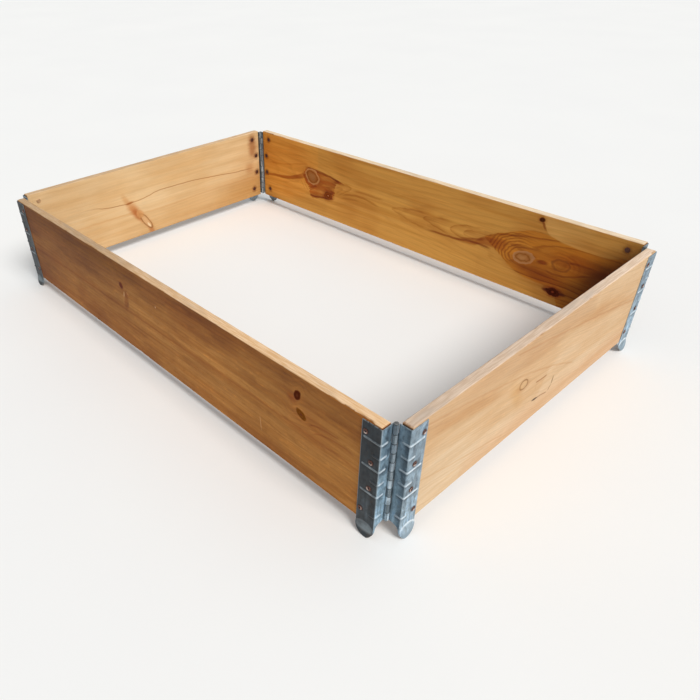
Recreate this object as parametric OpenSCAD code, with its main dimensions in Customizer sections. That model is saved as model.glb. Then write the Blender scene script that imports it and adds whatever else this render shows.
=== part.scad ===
// Folding wooden pallet collar: four planks joined at the corners by
// pressed steel hinges that are riveted through the planks.
// Millimetres. X runs along the long planks, Y along the short planks, Z up.
// The origin is at the middle of the collar, level with the tips of the tabs.

/* [Collar] */
// Outside length over the faces of the short planks
collar_l = 1200; // [700:10:1600]
// Outside width over the faces of the long planks
collar_w = 800; // [500:10:1200]
// Height of a plank
board_h = 198; // [196:1:204]
// Thickness of a plank
board_t = 18; // [16:1:20]
// Worn chamfer along the long edges of a plank
board_chamfer = 1.2; // [0.5:0.1:2]
// Gap between the end of a long plank and its hinge leaf
long_end_gap = 0.5; // [0.4:0.1:2.5]
// Gap between the end of a short plank and its hinge leaf
short_end_gap = 1.9; // [0.4:0.1:2.5]

/* [Hinge leaf] */
// Thickness of the steel sheet
sheet_t = 1.5; // [1.2:0.1:1.8]
// Distance from the pin axis to the inner face of a plank
pin_inset = 5; // [4.8:0.1:6]
// Distance from the pin axis to the free edge of the outer flange
flange_reach = 38; // [37:0.5:44]
// Distance from the top of the plank down to the top of the leaf
leaf_drop = 3; // [2.5:0.5:5]
// Outside radius of the bend between the two flanges
bend_r = 2; // [1.8:0.1:2.2]
// Number of knuckles on the pin, both leaves together
knuckles = 11; // [7:2:13]
// Gap between neighbouring knuckles along the pin
knuckle_gap = 0.5; // [0.4:0.1:1]

/* [Pin and rivets] */
// Radius of the hinge pin
pin_r = 2.5; // [2.3:0.1:2.5]
// Radial running clearance of the pin in the knuckles
pin_play = 0.05; // [0.02:0.01:0.08]
// Radius of a rivet shank
rivet_r = 2.5; // [2:0.1:2.8]
// Radius of the rivet head on the inside of the plank
rivet_head_r = 5.6; // [4.5:0.1:6.5]
// Radius of the rolled rivet end on the outside of the leaf
rivet_roll_r = 4.3; // [3.8:0.1:5]

/* [Beads] */
// Height of a stiffening bead above the sheet
bead_h = 1.2; // [0.6:0.1:1.4]
// Radius of the round back of a bead
bead_r = 2.4; // [2.2:0.1:2.6]

/* [Tab] */
// Depth of the locating tab below the plank
tab_depth = 25; // [22:1:28]
// Outward dish of the tab
tab_dish = 5; // [3:0.5:6]

/* [Hidden] */

// Pin axes, one at each inside corner of the frame
pin_off = board_t + pin_inset;
pin_x = collar_l / 2 - pin_off;
pin_y = collar_w / 2 - pin_off;

// Corners in turn: front right, rear right, rear left, front left
corner_x = [pin_x, pin_x, -pin_x, -pin_x];
corner_y = [-pin_y, pin_y, pin_y, -pin_y];
corner_turn = [180, 270, 0, 90];

// Leaf frame: the pin axis is Z, U runs along the plank away from the pin,
// V runs from the inside of the collar to the outside, and Z is 0 at the
// lower edge of the plank.
bore_r = pin_r + pin_play;
ring_r = bore_r + sheet_t;
end_u = bore_r + 0.05;
end_back_u = end_u + sheet_t;
face_v = pin_off;
out_v = pin_off + sheet_t;
bend_u = end_u + bend_r;
bend_v = out_v - bend_r;
bend_in_r = bend_r - sheet_t;
clear_v = ring_r + 0.55;
leaf_top = board_h - leaf_drop;
arch_top = 5;
arch_span = face_v - 2;
arch_r = (arch_span * arch_span + 4.5 * 4.5) / 9;
slot_h = (leaf_top - arch_top) / knuckles;

// Rivets, as distance from the pin axis and height above the lower edge
rivet_pitch = 50.7;
rivet_base = 25;
rivet_far = 31;
rivet_near = 18;
rivet_at = [for (k = [0 : 3]) [(k == 0 || k == 3) ? rivet_far : rivet_near, rivet_base + k * rivet_pitch]];

// Beads, as height, reach along the outer flange and reach on the end flange
bead_pitch = 50.5;
bead_base = 66.5;
bead_at = concat(
    [for (k = [0 : 2]) [bead_base + k * bead_pitch, 32, 12.5]],
    [for (k = [0 : 1]) [bead_base + (k + 0.5) * bead_pitch, 14.5, 12.5]],
    [[23.5, 13, 13.5]]
);
bead_sink = bead_r - bead_h;

// Tab outline, two arcs that meet near the tip
dish_r = 60;
dish_u = 20;
tab_arc_r = 27.5;
tab_arc_u = 13.5;
tab_heel_r = 20;
tab_heel_u = end_u + tab_heel_r - 0.1;
tab_heel_z = sqrt(tab_heel_r * tab_heel_r - (tab_heel_u - tab_arc_u) * (tab_heel_u - tab_arc_u)) - tab_depth - 0.1;

eps = 0.05;
sheet_color = "slategray";
rivet_color = "saddlebrown";

function arc(cu, cv, r, a0, a1, n) = [for (i = [0 : n]) let (a = a0 + (a1 - a0) * i / n) [cu + r * cos(a), cv + r * sin(a)]];

// Places a hinge part at a corner of the collar
module at_corner(i)
    translate([corner_x[i], corner_y[i], tab_depth]) rotate([0, 0, corner_turn[i]]) children();

// The second leaf of a hinge is the mirror image of the first
module opposite() mirror([1, 1, 0]) children();

// Plank with chamfered edges, along local X, with its holes for the rivets
module plank(span, gap) {
    c = board_chamfer;
    len = span - 2 * (end_back_u + gap);
    difference() {
        translate([-len / 2, 0, 0]) rotate([90, 0, 90]) linear_extrude(len)
            polygon([[c, 0], [board_t - c, 0], [board_t, c], [board_t, board_h - c],
                     [board_t - c, board_h], [c, board_h], [0, board_h - c], [0, c]]);
        for (s = [-1, 1], p = rivet_at)
            translate([s * (span / 2 - p[0]), -1, p[1]]) rotate([-90, 0, 0])
                cylinder(r = rivet_r + 0.1, h = board_t + 2, $fn = 48);
    }
}

// Section of the bent sheet from height v_low on the end flange outwards
module sheet_section(v_low)
    polygon(concat(
        [[end_u, v_low]],
        arc(bend_u, bend_v, bend_r, 180, 90, 6),
        [[flange_reach, out_v], [flange_reach, face_v]],
        arc(bend_u, bend_v, bend_in_r, 90, 180, 4),
        [[end_back_u, v_low]]
    ));

// Section of the outer flange alone, with the outside of the bend
module flange_section() {
    a = 180 - asin((face_v - bend_v) / bend_r);
    polygon(concat(arc(bend_u, bend_v, bend_r, a, 90, 5), [[flange_reach, out_v], [flange_reach, face_v]]));
}

// Outline of the outer flange and its tab, seen square to the plank
module tab_outline() {
    translate([0, -1]) square([flange_reach + 1, leaf_top + 1]);
    intersection() {
        translate([tab_arc_u, tab_arc_r - tab_depth]) circle(r = tab_arc_r, $fn = 128);
        translate([0, -tab_depth - 1]) square([flange_reach, tab_depth + 1]);
        union() {
            translate([0, tab_heel_z]) square([flange_reach, 0.5 - tab_heel_z]);
            translate([tab_heel_u, tab_heel_z]) circle(r = tab_heel_r, $fn = 128);
        }
    }
}

// Ball that the tab is dished over, cut off at depth v in the sheet
module dish_ball(r, v)
    intersection() {
        translate([dish_u, out_v + tab_dish - dish_r, 5 - tab_depth]) sphere(r = r, $fn = 96);
        translate([-20, v, -70]) cube([90, 20, 110]);
    }

// One round bead that wraps the bend
module bead(z, reach_u, reach_v) {
    cv = out_v - bead_sink;
    cu = end_u + bead_sink;
    translate([0, 0, z]) {
        intersection() {
            union() {
                translate([bend_u, cv, 0]) rotate([0, 90, 0]) cylinder(r = bead_r, h = reach_u - bend_u, $fn = 48);
                translate([reach_u, cv, 0]) sphere(r = bead_r - eps, $fn = 48);
            }
            translate([bend_u, cv + 0.2, -5]) cube([60, 5, 10]);
        }
        intersection() {
            union() {
                translate([cu, reach_v, 0]) rotate([-90, 0, 0]) cylinder(r = bead_r, h = bend_v - reach_v, $fn = 48);
                translate([cu, reach_v, 0]) sphere(r = bead_r - eps, $fn = 48);
            }
            translate([cu - 5.2, bend_v - 40, -5]) cube([5, 40, 10]);
        }
        translate([bend_u, bend_v, 0]) rotate([0, 0, 90]) rotate_extrude(angle = 90, $fn = 96)
            intersection() {
                translate([bend_r - bead_sink, 0]) circle(r = bead_r, $fn = 48);
                translate([bend_r - bead_sink + 0.2, -5]) square([8, 10]);
            }
    }
}

// Knuckles of one leaf: every second slot, starting with slot first
module knuckle_row(first)
    for (k = [first : 2 : knuckles - 1])
        translate([0, 0, arch_top + k * slot_h + knuckle_gap / 2]) {
            cylinder(r = ring_r, h = slot_h - knuckle_gap, $fn = 64);
            translate([end_u, 0, 0]) cube([sheet_t, clear_v + 0.5, slot_h - knuckle_gap]);
        }

// One hinge leaf: outer flange, bend, end flange, knuckles, beads and tab
module leaf(first)
    difference() {
        union() {
            linear_extrude(leaf_top) sheet_section(clear_v);
            knuckle_row(first);
            for (b = bead_at) bead(b[0], b[1], b[2]);
            intersection() {
                union() {
                    translate([0, 0, -tab_depth - 1]) linear_extrude(tab_depth + 2) flange_section();
                    dish_ball(dish_r, face_v + 0.6);
                }
                translate([0, out_v + 20, 0]) rotate([90, 0, 0]) linear_extrude(40) tab_outline();
            }
        }
        dish_ball(dish_r - sheet_t, face_v - 0.1);
        translate([0, 0, -1]) cylinder(r = bore_r, h = leaf_top + 2, $fn = 64);
        translate([end_u - 3, 0, arch_top - arch_r]) rotate([0, 90, 0])
            intersection() {
                cylinder(r = arch_r, h = 6, $fn = 192);
                translate([-arch_r - 1, -clear_v, -1]) cube([arch_r, clear_v + face_v - 0.05, 8]);
            }
        for (p = rivet_at)
            translate([p[0], face_v - 2, p[1]]) rotate([-90, 0, 0]) cylinder(r = rivet_r + 0.1, h = sheet_t + 4, $fn = 48);
    }

// Four tubular rivets: a low head inside the collar, a shank through the
// plank and the leaf, and a rolled end outside
module rivet_row()
    for (p = rivet_at)
        translate([p[0], 0, p[1]]) rotate([-90, 0, 0]) rotate_extrude($fn = 48)
            polygon([[0, pin_inset - 1.1], [rivet_head_r - 1.2, pin_inset - 1.1], [rivet_head_r, pin_inset - 0.5],
                     [rivet_head_r, pin_inset], [rivet_r, pin_inset], [rivet_r, out_v],
                     [rivet_roll_r, out_v], [rivet_roll_r, out_v + 0.6], [rivet_roll_r - 0.7, out_v + 1.3],
                     [rivet_r - 0.3, out_v + 1.1], [rivet_r - 0.9, out_v + 0.4], [rivet_r - 0.9, out_v - 11], [0, out_v - 11.6]]);

// Hinge pin with an upset end below and a flat head above
module pin()
    rotate_extrude($fn = 64)
        polygon([[0, arch_top - 1.4], [pin_r, arch_top - 1.4], [ring_r - 0.6, arch_top - 1], [ring_r - 0.6, arch_top - 0.3],
                 [pin_r, arch_top - 0.3], [pin_r, leaf_top + 0.2], [ring_r - 0.4, leaf_top + 0.2],
                 [ring_r - 0.4, leaf_top + 0.9], [ring_r - 1, leaf_top + 1.5], [0, leaf_top + 1.5]]);

module front_long_board() color("peru") translate([0, -collar_w / 2, tab_depth]) plank(2 * pin_x, long_end_gap);
module rear_long_board() color("goldenrod") translate([0, collar_w / 2 - board_t, tab_depth]) plank(2 * pin_x, long_end_gap);
module left_short_board() color("burlywood") translate([-collar_l / 2 + board_t, 0, tab_depth]) rotate([0, 0, 90]) plank(2 * pin_y, short_end_gap);
module right_short_board() color("wheat") translate([collar_l / 2, 0, tab_depth]) rotate([0, 0, 90]) plank(2 * pin_y, short_end_gap);

module front_right_long_leaf() color(sheet_color) at_corner(0) leaf(0);
module front_right_short_leaf() color(sheet_color) at_corner(0) opposite() leaf(1);
module rear_right_short_leaf() color(sheet_color) at_corner(1) leaf(0);
module rear_right_long_leaf() color(sheet_color) at_corner(1) opposite() leaf(1);
module rear_left_long_leaf() color(sheet_color) at_corner(2) leaf(0);
module rear_left_short_leaf() color(sheet_color) at_corner(2) opposite() leaf(1);
module front_left_short_leaf() color(sheet_color) at_corner(3) leaf(0);
module front_left_long_leaf() color(sheet_color) at_corner(3) opposite() leaf(1);

module front_right_pin() color("silver") at_corner(0) pin();
module rear_right_pin() color("silver") at_corner(1) pin();
module rear_left_pin() color("silver") at_corner(2) pin();
module front_left_pin() color("silver") at_corner(3) pin();

module front_right_long_rivets() color(rivet_color) at_corner(0) rivet_row();
module front_right_short_rivets() color(rivet_color) at_corner(0) opposite() rivet_row();
module rear_right_short_rivets() color(rivet_color) at_corner(1) rivet_row();
module rear_right_long_rivets() color(rivet_color) at_corner(1) opposite() rivet_row();
module rear_left_long_rivets() color(rivet_color) at_corner(2) rivet_row();
module rear_left_short_rivets() color(rivet_color) at_corner(2) opposite() rivet_row();
module front_left_short_rivets() color(rivet_color) at_corner(3) rivet_row();
module front_left_long_rivets() color(rivet_color) at_corner(3) opposite() rivet_row();

front_long_board();
rear_long_board();
left_short_board();
right_short_board();
front_right_long_leaf();
front_right_short_leaf();
front_right_pin();
rear_right_long_leaf();
rear_right_short_leaf();
rear_right_pin();
rear_left_long_leaf();
rear_left_short_leaf();
rear_left_pin();
front_left_long_leaf();
front_left_short_leaf();
front_left_pin();
front_right_long_rivets();
front_right_short_rivets();
rear_right_long_rivets();
rear_right_short_rivets();
rear_left_long_rivets();
rear_left_short_rivets();
front_left_long_rivets();
front_left_short_rivets();
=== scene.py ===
"""Looks of a folding wooden pallet collar: four planks, eight pressed sheet leaves, four hinge pins and their tubular rivets."""

import math

import bpy
import numpy as np
from mathutils import Matrix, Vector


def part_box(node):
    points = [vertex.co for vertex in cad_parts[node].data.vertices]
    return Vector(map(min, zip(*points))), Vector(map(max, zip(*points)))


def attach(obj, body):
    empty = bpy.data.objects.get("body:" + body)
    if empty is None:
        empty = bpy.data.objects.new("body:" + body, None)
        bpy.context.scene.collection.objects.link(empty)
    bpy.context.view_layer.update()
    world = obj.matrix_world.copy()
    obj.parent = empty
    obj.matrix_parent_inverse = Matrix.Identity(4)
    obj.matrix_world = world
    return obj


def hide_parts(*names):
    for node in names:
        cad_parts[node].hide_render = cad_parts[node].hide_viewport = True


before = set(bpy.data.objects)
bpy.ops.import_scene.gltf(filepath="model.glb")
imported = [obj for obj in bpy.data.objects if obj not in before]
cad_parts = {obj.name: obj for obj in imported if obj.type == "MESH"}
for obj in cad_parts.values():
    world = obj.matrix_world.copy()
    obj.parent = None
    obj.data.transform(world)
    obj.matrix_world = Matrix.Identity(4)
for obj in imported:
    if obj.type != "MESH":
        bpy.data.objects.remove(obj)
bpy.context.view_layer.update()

MM = 0.001
scene = bpy.context.scene
scene.view_settings.view_transform = "Standard"
scene.view_settings.look = "None"


# ---------------------------------------------------------------- numbers
def lin(r, g, b):
    """A colour given as 0-255 display values, as the linear value a shader takes."""
    out = []
    for v in (r, g, b):
        v = v / 255.0
        out.append(v / 12.92 if v <= 0.04045 else ((v + 0.055) / 1.055) ** 2.4)
    return (out[0], out[1], out[2], 1.0)


def rand_at(i, seed):
    """A fixed pseudo-random value in 0..1 for each whole number."""
    k = (np.asarray(i, dtype=np.int64) * 374761393 + seed * 668265263) & 0xFFFFFFFF
    k = ((k ^ (k >> 13)) * 1274126177) & 0xFFFFFFFF
    return ((k ^ (k >> 16)) & 0xFFFF) / 65535.0


def noise1(x, seed):
    """Smooth noise along a line, -0.5..0.5."""
    x = np.asarray(x, float)
    i = np.floor(x).astype(np.int64)
    f = x - i
    f = f * f * (3 - 2 * f)
    return rand_at(i, seed) * (1 - f) + rand_at(i + 1, seed) * f - 0.5


def noise2(x, y, seed):
    """Smooth noise on a plane, -0.5..0.5."""
    x, y = np.broadcast_arrays(np.asarray(x, float), np.asarray(y, float))
    i, j = np.floor(x).astype(np.int64), np.floor(y).astype(np.int64)
    f, g = x - i, y - j
    f, g = f * f * (3 - 2 * f), g * g * (3 - 2 * g)
    r = lambda a, b: rand_at(a * 7919 + b * 104729, seed)
    lo = r(i, j) * (1 - f) + r(i + 1, j) * f
    hi = r(i, j + 1) * (1 - f) + r(i + 1, j + 1) * f
    return lo * (1 - g) + hi * g - 0.5


def smooth(x, lo, hi):
    t = np.clip((x - lo) / (hi - lo), 0, 1)
    return t * t * (3 - 2 * t)


# ---------------------------------------------------------------- mesh making
def make(name, verts_mm, faces, body, nodes, material, matrix=None, sharp=None, fields=None):
    """One visible piece from points in millimetres: placed, shaded, riding on its body and standing for its CAD nodes."""
    mesh = bpy.data.meshes.new(name)
    mesh.from_pydata((np.asarray(verts_mm, float) * MM).tolist(), [], faces)
    mesh.polygons.foreach_set("use_smooth", [True] * len(mesh.polygons))
    for key, values in (fields or {}).items():
        at = mesh.attributes.new(key, "FLOAT", "POINT")
        at.data.foreach_set("value", np.asarray(values, np.float32))
    mesh.update()
    if sharp is not None:
        mesh.set_sharp_from_angle(angle=math.radians(sharp))
    obj = bpy.data.objects.new(name, mesh)
    scene.collection.objects.link(obj)
    if matrix is not None:
        obj.matrix_world = matrix
    mesh.materials.append(material)
    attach(obj, body)
    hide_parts(*nodes)
    return obj


# ---------------------------------------------------------------- shader graphs
class Graph:
    """A material's node graph, written as expressions: a value is a number or a node's output."""

    def __init__(self, name):
        self.mat = bpy.data.materials.new(name)
        self.mat.use_nodes = True
        self.nt = self.mat.node_tree
        self.nt.nodes.clear()
        self.out = self.nt.nodes.new("ShaderNodeOutputMaterial")
        self.bsdf = self.nt.nodes.new("ShaderNodeBsdfPrincipled")
        self.nt.links.new(self.bsdf.outputs[0], self.out.inputs[0])
        tc = self.nt.nodes.new("ShaderNodeTexCoord")
        self.mm = self.v("SCALE", tc.outputs["Object"], s=1000.0)

    def put(self, sock, val):
        if isinstance(val, bpy.types.NodeSocket):
            self.nt.links.new(val, sock)
        else:
            sock.default_value = val

    def m(self, op, a, b=None, c=None, clamp=False):
        n = self.nt.nodes.new("ShaderNodeMath")
        n.operation = op
        n.use_clamp = clamp
        for i, x in enumerate((a, b, c)):
            if x is not None:
                self.put(n.inputs[i], x)
        return n.outputs[0]

    def v(self, op, a, b=None, s=None):
        n = self.nt.nodes.new("ShaderNodeVectorMath")
        n.operation = op
        self.put(n.inputs[0], a)
        if b is not None:
            self.put(n.inputs[1], b)
        if s is not None:
            self.put(n.inputs["Scale"], s)
        return n.outputs["Value"] if op in ("DOT_PRODUCT", "LENGTH", "DISTANCE") else n.outputs["Vector"]

    def sep(self, vec):
        n = self.nt.nodes.new("ShaderNodeSeparateXYZ")
        self.put(n.inputs[0], vec)
        return n.outputs[0], n.outputs[1], n.outputs[2]

    def comb(self, x, y, z):
        n = self.nt.nodes.new("ShaderNodeCombineXYZ")
        for i, q in enumerate((x, y, z)):
            self.put(n.inputs[i], q)
        return n.outputs[0]

    def place(self, vec, loc, angle, size):
        """vec measured from loc, turned by -angle, in units of size."""
        n = self.nt.nodes.new("ShaderNodeMapping")
        n.vector_type = "TEXTURE"
        self.put(n.inputs["Vector"], vec)
        n.inputs["Location"].default_value = (loc[0], loc[1], 0)
        n.inputs["Rotation"].default_value = (0, 0, math.radians(angle))
        n.inputs["Scale"].default_value = (size[0], size[1], 1)
        return n.outputs[0]

    def stretch(self, vec, scale, seed=0.0):
        n = self.nt.nodes.new("ShaderNodeMapping")
        n.vector_type = "POINT"
        self.put(n.inputs["Vector"], vec)
        n.inputs["Scale"].default_value = scale
        n.inputs["Location"].default_value = (seed * 13.7, seed * 7.3, seed * 3.1)
        return n.outputs[0]

    def noise(self, vec, detail=2.0, rough=0.5, distort=0.0, scale=1.0):
        n = self.nt.nodes.new("ShaderNodeTexNoise")
        self.put(n.inputs["Vector"], vec)
        n.inputs["Scale"].default_value = scale
        n.inputs["Detail"].default_value = detail
        n.inputs["Roughness"].default_value = rough
        n.inputs["Distortion"].default_value = distort
        return n.outputs[0]

    def cells(self, vec, scale=1.0, feature="F1", rnd=1.0):
        n = self.nt.nodes.new("ShaderNodeTexVoronoi")
        n.feature = feature
        self.put(n.inputs["Vector"], vec)
        n.inputs["Scale"].default_value = scale
        n.inputs["Randomness"].default_value = rnd
        return n

    def white(self, w):
        n = self.nt.nodes.new("ShaderNodeTexWhiteNoise")
        n.noise_dimensions = "1D"
        self.put(n.inputs["W"], w)
        return n.outputs["Value"]

    def step(self, x, lo, hi, to_lo=0.0, to_hi=1.0):
        """A smooth step of x from lo to hi."""
        n = self.nt.nodes.new("ShaderNodeMapRange")
        n.interpolation_type = "SMOOTHSTEP"
        for i, q in enumerate((x, lo, hi, to_lo, to_hi)):
            self.put(n.inputs[i], q)
        return n.outputs[0]

    def ramp(self, fac, stops, interp="LINEAR"):
        n = self.nt.nodes.new("ShaderNodeValToRGB")
        n.color_ramp.interpolation = interp
        el = n.color_ramp.elements
        while len(el) < len(stops):
            el.new(0.5)
        for e, (p, c) in zip(el, stops):
            e.position = p
            e.color = c if isinstance(c, tuple) else (c, c, c, 1)
        self.put(n.inputs[0], fac)
        return n.outputs[0]

    def mix(self, fac, a, b, blend="MIX"):
        n = self.nt.nodes.new("ShaderNodeMix")
        n.data_type = "RGBA"
        n.blend_type = blend
        n.clamp_factor = True
        self.put(n.inputs[0], fac)
        self.put(n.inputs[6], a)
        self.put(n.inputs[7], b)
        return n.outputs[2]

    def curve(self, x, pts):
        """A smooth curve through pts, flat beyond the ends."""
        xs, ys = [p[0] for p in pts], [p[1] for p in pts]
        x0, x1, y0, y1 = min(xs), max(xs), min(ys), max(ys)
        y1 = y1 if y1 > y0 else y0 + 1.0
        n = self.nt.nodes.new("ShaderNodeFloatCurve")
        t = self.m("DIVIDE", self.m("SUBTRACT", x, x0), x1 - x0, clamp=True)
        self.put(n.inputs["Value"], t)
        c = n.mapping.curves[0]
        unit = [((p[0] - x0) / (x1 - x0), (p[1] - y0) / (y1 - y0)) for p in pts]
        while len(c.points) < len(unit):
            c.points.new(0.5, 0.5)
        for q, u in zip(c.points, unit):
            q.location = u
            q.handle_type = "AUTO"
        n.mapping.update()
        return self.m("MULTIPLY_ADD", n.outputs[0], y1 - y0, y0)

    def attr(self, name):
        n = self.nt.nodes.new("ShaderNodeAttribute")
        n.attribute_name = name
        return n.outputs["Fac"]

    def bump(self, height, strength, distance):
        n = self.nt.nodes.new("ShaderNodeBump")
        n.inputs["Strength"].default_value = strength
        n.inputs["Distance"].default_value = distance
        self.put(n.inputs["Height"], height)
        self.put(self.bsdf.inputs["Normal"], n.outputs[0])


# ---------------------------------------------------------------- wood
def wood(name, w):
    """Pine or spruce plank: growth rings cut by the saw, bent round the knots, with fibres, stains and weathered edges.
    Local axes: X along the plank, Y from the inner to the outer face, Z up."""
    g = Graph(name)
    seed = w["seed"]
    a, c, b = g.sep(g.mm)
    ab = g.comb(a, b, 0.0)

    # slow wander of the stem, then the knots push the grain aside
    n1 = g.noise(g.stretch(g.mm, (0.0030, 0.010, 0.012), seed), 2.0)
    n2 = g.noise(g.stretch(g.mm, (0.0042, 0.010, 0.020), seed + 3.3), 2.0)
    b1 = g.m("MULTIPLY_ADD", g.m("SUBTRACT", n1, 0.5), w["wander"], b)
    if w.get("slant"):
        b1 = g.m("MULTIPLY_ADD", a, -w["slant"], b1)
    for k in w["knots"]:
        if not k.get("push"):
            continue
        reach = k.get("reach", 2.0)
        p = g.place(ab, k["at"], k.get("turn", 0), (k["size"][0] * reach, k["size"][1] * 1.15))
        q = g.v("DOT_PRODUCT", p, p)
        off = g.m("DIVIDE", g.m("SUBTRACT", b, k["at"][1]), g.m("ADD", q, 0.4))
        b1 = g.m("MULTIPLY_ADD", off, -k["push"], b1)
    c1 = g.m("MULTIPLY_ADD", g.m("SUBTRACT", n2, 0.5), w["wander"] * 0.8, c)
    depth = g.m("SUBTRACT", c1, g.curve(a, w["pith_c"]) if isinstance(w["pith_c"], list) else w["pith_c"])
    rise = g.m("SUBTRACT", b1, w["pith_b"])
    r = g.m("SQRT", g.m("MULTIPLY_ADD", rise, rise, g.m("MULTIPLY", depth, depth)))
    wob = g.noise(g.stretch(g.mm, (0.012, 0.09, 0.09), seed + 9), 2.0)
    phase = g.m("MULTIPLY_ADD", wob, w.get("wobble", 0.5), g.m("DIVIDE", r, w["ring"]))
    late = g.ramp(
        g.m("FRACT", phase),
        [(0.0, 0.05), (0.35, 0.0), (0.62, 0.22), (0.86, 1.0), (0.95, 0.75), (1.0, 0.05)],
        "EASE",
    )
    share = g.white(g.m("FLOOR", phase))
    late = g.m("MULTIPLY", late, g.m("MULTIPLY_ADD", share, 0.65, 0.35))

    # fibres: fine streaks, broad streaks, and slow cloud
    fine = g.noise(g.stretch(g.mm, (0.010, 0.75, 0.75), seed + 1), 3.0, 0.62)
    hair = g.noise(g.stretch(g.mm, (0.035, 2.4, 2.4), seed + 6), 2.0, 0.6)
    broad = g.noise(g.stretch(g.mm, (0.0022, 0.060, 0.060), seed + 5), 2.0, 0.5)
    cloud = g.noise(g.stretch(g.mm, (0.006, 0.010, 0.010), seed + 8), 2.0, 0.5)

    col = g.mix(g.m("MULTIPLY", late, w["contrast"]), w["early"], w["late"])
    col = g.mix(g.step(broad, 0.40, 0.68), col, g.mix(1.0, col, w["streak"], "MULTIPLY"))
    col = g.mix(g.step(cloud, 0.42, 0.70, 0.0, w.get("cloud", 0.5)), col, g.mix(1.0, col, w["cloud_tint"], "MULTIPLY"))

    # broad zones of heartwood and sapwood, and zones of painted shade and painted light
    gates = {}
    for z in w.get("zones", []):
        edge = g.m("MULTIPLY_ADD", g.m("SUBTRACT", g.noise(g.stretch(ab, (0.02, 0.06, 0), seed + z.get("seed", 0)), 2.0), 0.5), z.get("rough", 8.0), b)
        if z.get("ragged"):
            edge = g.m("MULTIPLY_ADD", g.m("SUBTRACT", g.noise(g.stretch(ab, (0.07, 0.20, 0), seed + z.get("seed", 0) + 5), 3.0, 0.6), 0.5), z["ragged"], edge)
        at = a
        if z.get("ragged_a"):
            at = g.m("MULTIPLY_ADD", g.m("SUBTRACT", g.noise(g.stretch(ab, (0.045, 0.15, 0), seed + z.get("seed", 0) + 2), 3.0, 0.6), 0.5), z["ragged_a"], a)
        hi = g.curve(at, z["top"])
        lo = g.curve(at, z["bottom"])
        s = z.get("soft", 4.0)
        f = g.m("MULTIPLY", g.step(g.m("SUBTRACT", hi, edge), -s, s), g.step(g.m("SUBTRACT", edge, lo), -s, s))
        if "along" in z:
            f = g.m("MULTIPLY", f, g.curve(a, z["along"]))
        if "gate" in z:
            gates[z["gate"]] = f
        if z.get("vary"):
            patchy = g.noise(g.stretch(ab, (0.016, 0.085, 0), seed + z.get("seed", 0) + 8), 3.0, 0.6)
            f = g.m("MULTIPLY", f, g.step(patchy, 0.34, 0.60, 1.0 - z["vary"], 1.0))
        col = g.mix(g.m("MULTIPLY", f, z.get("amount", 1.0)), col, g.mix(1.0, col, z["tint"], "MULTIPLY"))
        if z.get("grain"):
            col = g.mix(g.m("MULTIPLY", g.m("MULTIPLY", f, late), z["grain"]), col, g.mix(1.0, col, lin(186, 150, 114), "MULTIPLY"))

    # stains: soft patches
    for s in w.get("stains", []):
        p = g.place(ab, s["at"], s.get("turn", 0), s["size"])
        q = g.m("SQRT", g.v("DOT_PRODUCT", p, p))
        q = g.m("MULTIPLY_ADD", g.m("SUBTRACT", g.noise(g.stretch(ab, (0.03, 0.12, 0), seed + s["at"][0] * 0.01), 3.0, 0.6), 0.5), s.get("rough", 0.7), q)
        f = g.m("MULTIPLY", g.step(q, 1.0 + s.get("soft", 0.3), 1.0 - s.get("soft", 0.3)), s.get("amount", 1.0))
        col = g.mix(f, col, g.mix(1.0, col, s["tint"], "MULTIPLY"))

    # handling grime: blotches, with paler rubbed spots between them
    if w.get("grime"):
        blotch = g.noise(g.stretch(g.mm, (0.0058, 0.024, 0.024), seed + 15), 4.0, 0.60)
        col = g.mix(g.step(blotch, 0.46, 0.66, 0.0, w["grime"]), col, g.mix(1.0, col, lin(206, 190, 166), "MULTIPLY"))
        col = g.mix(g.step(blotch, 0.46, 0.30, 0.0, w["grime"] * 0.8), col, g.mix(1.0, col, lin(276, 272, 264), "MULTIPLY"))

    # scuffs: small pale and dark flecks where the face has been rubbed
    if w.get("scuff"):
        fleck = g.noise(g.stretch(g.mm, (0.055, 0.13, 0.13), seed + 21), 4.0, 0.68)
        col = g.mix(g.step(fleck, 0.54, 0.70, 0.0, w["scuff"]), col, g.mix(1.0, col, lin(294, 290, 282), "MULTIPLY"))
        col = g.mix(g.step(fleck, 0.46, 0.30, 0.0, w["scuff"]), col, g.mix(1.0, col, lin(222, 212, 196), "MULTIPLY"))

    # single dark or pale grain lines along the plank
    for s in w.get("lines", []):
        mid = g.curve(a, s["path"])
        jig = g.m("MULTIPLY_ADD", g.m("SUBTRACT", g.noise(g.stretch(ab, (0.05, 0.0, 0), seed + s["path"][0][1]), 2.0), 0.5), s.get("jitter", 1.5), b)
        d = g.m("ABSOLUTE", g.m("SUBTRACT", jig, mid))
        f = g.step(d, s["width"], s["width"] * 0.25)
        x0, x1 = s["path"][0][0], s["path"][-1][0]
        fade = s.get("fade", 12.0)
        fade0, fade1 = fade if isinstance(fade, tuple) else (fade, fade)
        f = g.m("MULTIPLY", f, g.m("MULTIPLY", g.step(a, x0 - 1, x0 + fade0), g.step(a, x1 + 1, x1 - fade1)))
        col = g.mix(g.m("MULTIPLY", f, s.get("amount", 0.8)), col, g.mix(1.0, col, s["tint"], "MULTIPLY"))

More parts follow.
